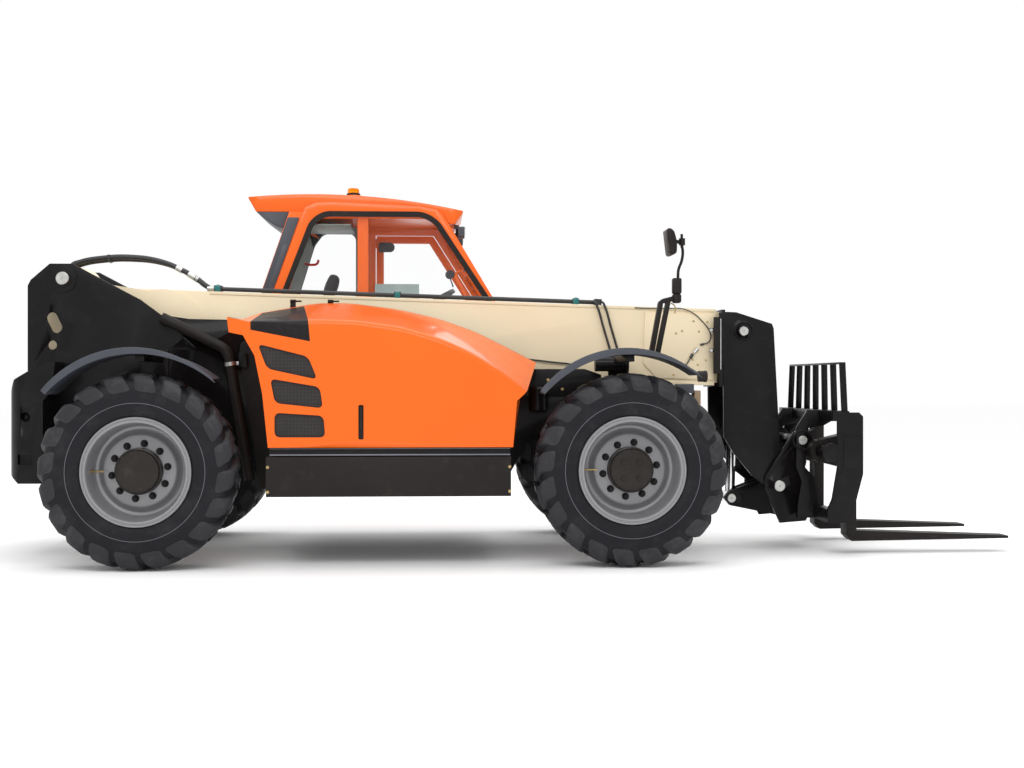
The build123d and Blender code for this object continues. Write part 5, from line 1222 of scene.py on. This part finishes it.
# %% Grille plates
bm = bmesh.new()
for corners in grille_openings:
    middle = Vector((sum(x for x, z in corners), sum(z for x, z in corners))) / 4
    grown = [middle + (Vector(c) - middle) * 1.10 for c in corners]
    part = bmesh.new()
    inside = [(c.x, max(c.y, hood_bottom + 0.012)) for c in grown]
    thick(part, [outline(part, inside, -pod_outer + 0.0145)], 0.003)
    joined(bm, part)
piece("grille_plates", bm, grille, "hood", replaces=("hood_grilles",))

# %% [markdown]
# Under the hood the sill is topped by a shallow channel whose rolled lips are a
# paler grey than the black round them: a painted highlight along each lip.
# The sill and the frame's plates are held by rows of yellow zinc screws.

# %% Sill channel and screws
bm = bmesh.new()
for z, height in ((0.7775, 0.003), (0.735, 0.009)):
    block(bm, at(0.840, -pod_outer - 0.0045, z), at(2.392, -pod_outer + 0.002, z + height), 0.001)
piece("sill_lips", bm, lip_sheen_metal, "chassis")
block_piece("sill_channel", (0.842, -pod_outer - 0.002, 0.745), (2.390, -pod_outer + 0.001, 0.776), 0.001,
            black, "chassis")
bm = bmesh.new()
for x, z in ((0.826, 0.66), (0.826, 0.50), (2.388, 0.66), (2.388, 0.50)):
    bolt(bm, at(x, -pod_outer - 0.001, z), (0, -1, 0), 0.0075, 0.006)
for x, z in ((0.585, 1.392), (0.592, 1.350), (0.770, 0.845), (0.765, 0.800), (0.775, 0.730)):
    bolt(bm, at(x, -0.459, z), (0, -1, 0), 0.009, 0.007)
piece("frame_screws", bm, brass, "chassis")

# %% [markdown]
# Between hood and front wheel a guard plate stands on the frame and covers the
# lift cylinders, with a round filter can bolted to it. A thin hose lies along
# the boom's side above it.

# %% Guard plate and can
guard_y = -0.4155
bm = bmesh.new()
side_plate(bm, [(2.460, 1.110), (2.500, 1.300), (2.965, 1.300), (3.075, 1.262), (3.090, 1.110)],
           guard_y - 0.004, 0.004, 0.002)
side_plate(bm, [(2.500, 1.294), (2.965, 1.294), (2.965, 1.302), (2.500, 1.302)],
           guard_y + 0.020, 0.020, 0.002)
piece("side_guard", bm, black, "chassis")
bm = bmesh.new()
can_x, can_y, can_low, can_high = 2.625, guard_y - 0.074, 1.006, 1.176
spun(bm, [(0, 0), (0.050, 0), (0.062, 0.006), (0.064, 0.014), (0.064, 0.140), (0.069, 0.146),
          (0.069, 0.158), (0.058, 0.170), (0.020, 0.172), (0, 0.172)],
     at(can_x, can_y, can_low), (0, 0, 1), 40)
block(bm, at(can_x - 0.030, can_y + 0.050, can_low + 0.03),
      at(can_x + 0.030, guard_y - 0.008, can_high - 0.03), 0.004)
piece("filter_can", bm, black, "chassis")
bm = bmesh.new()
for x, z in ((2.700, 1.225), (2.800, 1.160)):
    bolt(bm, at(x, guard_y - 0.008, z), (0, -1, 0), 0.008, 0.006)
piece("guard_screws", bm, brass, "chassis")
tube("boom_side_hose", [(x, -0.246, z) for x, z in (
    (2.30, 1.400), (2.45, 1.385), (2.639, 1.365), (2.75, 1.352), (2.863, 1.340), (2.93, 1.325))],
     0.006, hose, "boom")

# %% [markdown]
# The bent rear pipe is held by a bright band clamp on a tongue from the
# bulkhead. Two hoses run from the tower over the boom's pivot to the clamps.

# %% Pipe clamp and boom hoses
pipe_y = -0.453
bm = bmesh.new()
spun(bm, [(0.0385, -0.013), (0.0385, 0.013), (0.0430, 0.013), (0.0430, -0.013)],
     at(0.492, pipe_y, 1.335), (0.12, 0, -0.99), 32, True)
block(bm, at(0.530, pipe_y - 0.010, 1.325), at(0.566, pipe_y + 0.010, 1.352), 0.003)
piece("pipe_clamp", bm, pin_steel, "chassis")
block_piece("clamp_tongue", (0.548, pipe_y - 0.016, 1.310), (0.606, pipe_y - 0.006, 1.412), 0.003,
            black, "chassis")

# the two hoses over the boom's pivot, one smooth arc each
for number, y in enumerate(hose_ys):
    drop = 0.012 * number
    made = tube(f"boom_hose_{number}", [
        (-0.655, y, 1.990), (-0.651, y, 2.030 - drop), (-0.591, y, 2.058 - drop), (-0.455, y, 2.084 - drop),
        (-0.243, y, 2.094 - drop), (-0.030, y, 2.063 - drop / 2), (0.122, y, 2.000), (0.228, y, 1.934),
        (0.290, y, 1.888), (0.325, y, 1.8745), (0.352, y, 1.8727)], 0.018, hose, "boom", 7)
    if number == 0:
        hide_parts("boom_hoses")

# %% [markdown]
# Last small things: a pale ring along the rib of each tyre wall, a painted
# highlight, and a bright bolt low on the coupler.

# %% Painted rib highlights and coupler bolt
for corner, x, turn, bolts in wheels:
    hand = 1 if turn else -1
    bm = bmesh.new()
    spun(bm, [(0.4390, 0), (0.4390, 0.001), (0.4425, 0.001), (0.4425, 0)],
         (x, hand * (wheel_y + 0.1938), axle_z), (0, hand, 0), 96, True)
    piece(f"tyre_rib_painted_highlight_{corner}", bm, tyre_rib_highlight, f"wheel_{corner}")
bm = bmesh.new()
spun(bm, [(0, 0.020), (0.014, 0.020), (0.018, 0.016), (0.018, 0.006), (0.030, 0.006), (0.030, 0), (0, 0)],
     at(4.540, -0.347, 0.286), (0, -1, 0), 24)
piece("coupler_bolt", bm, pin_steel, "fork_head")
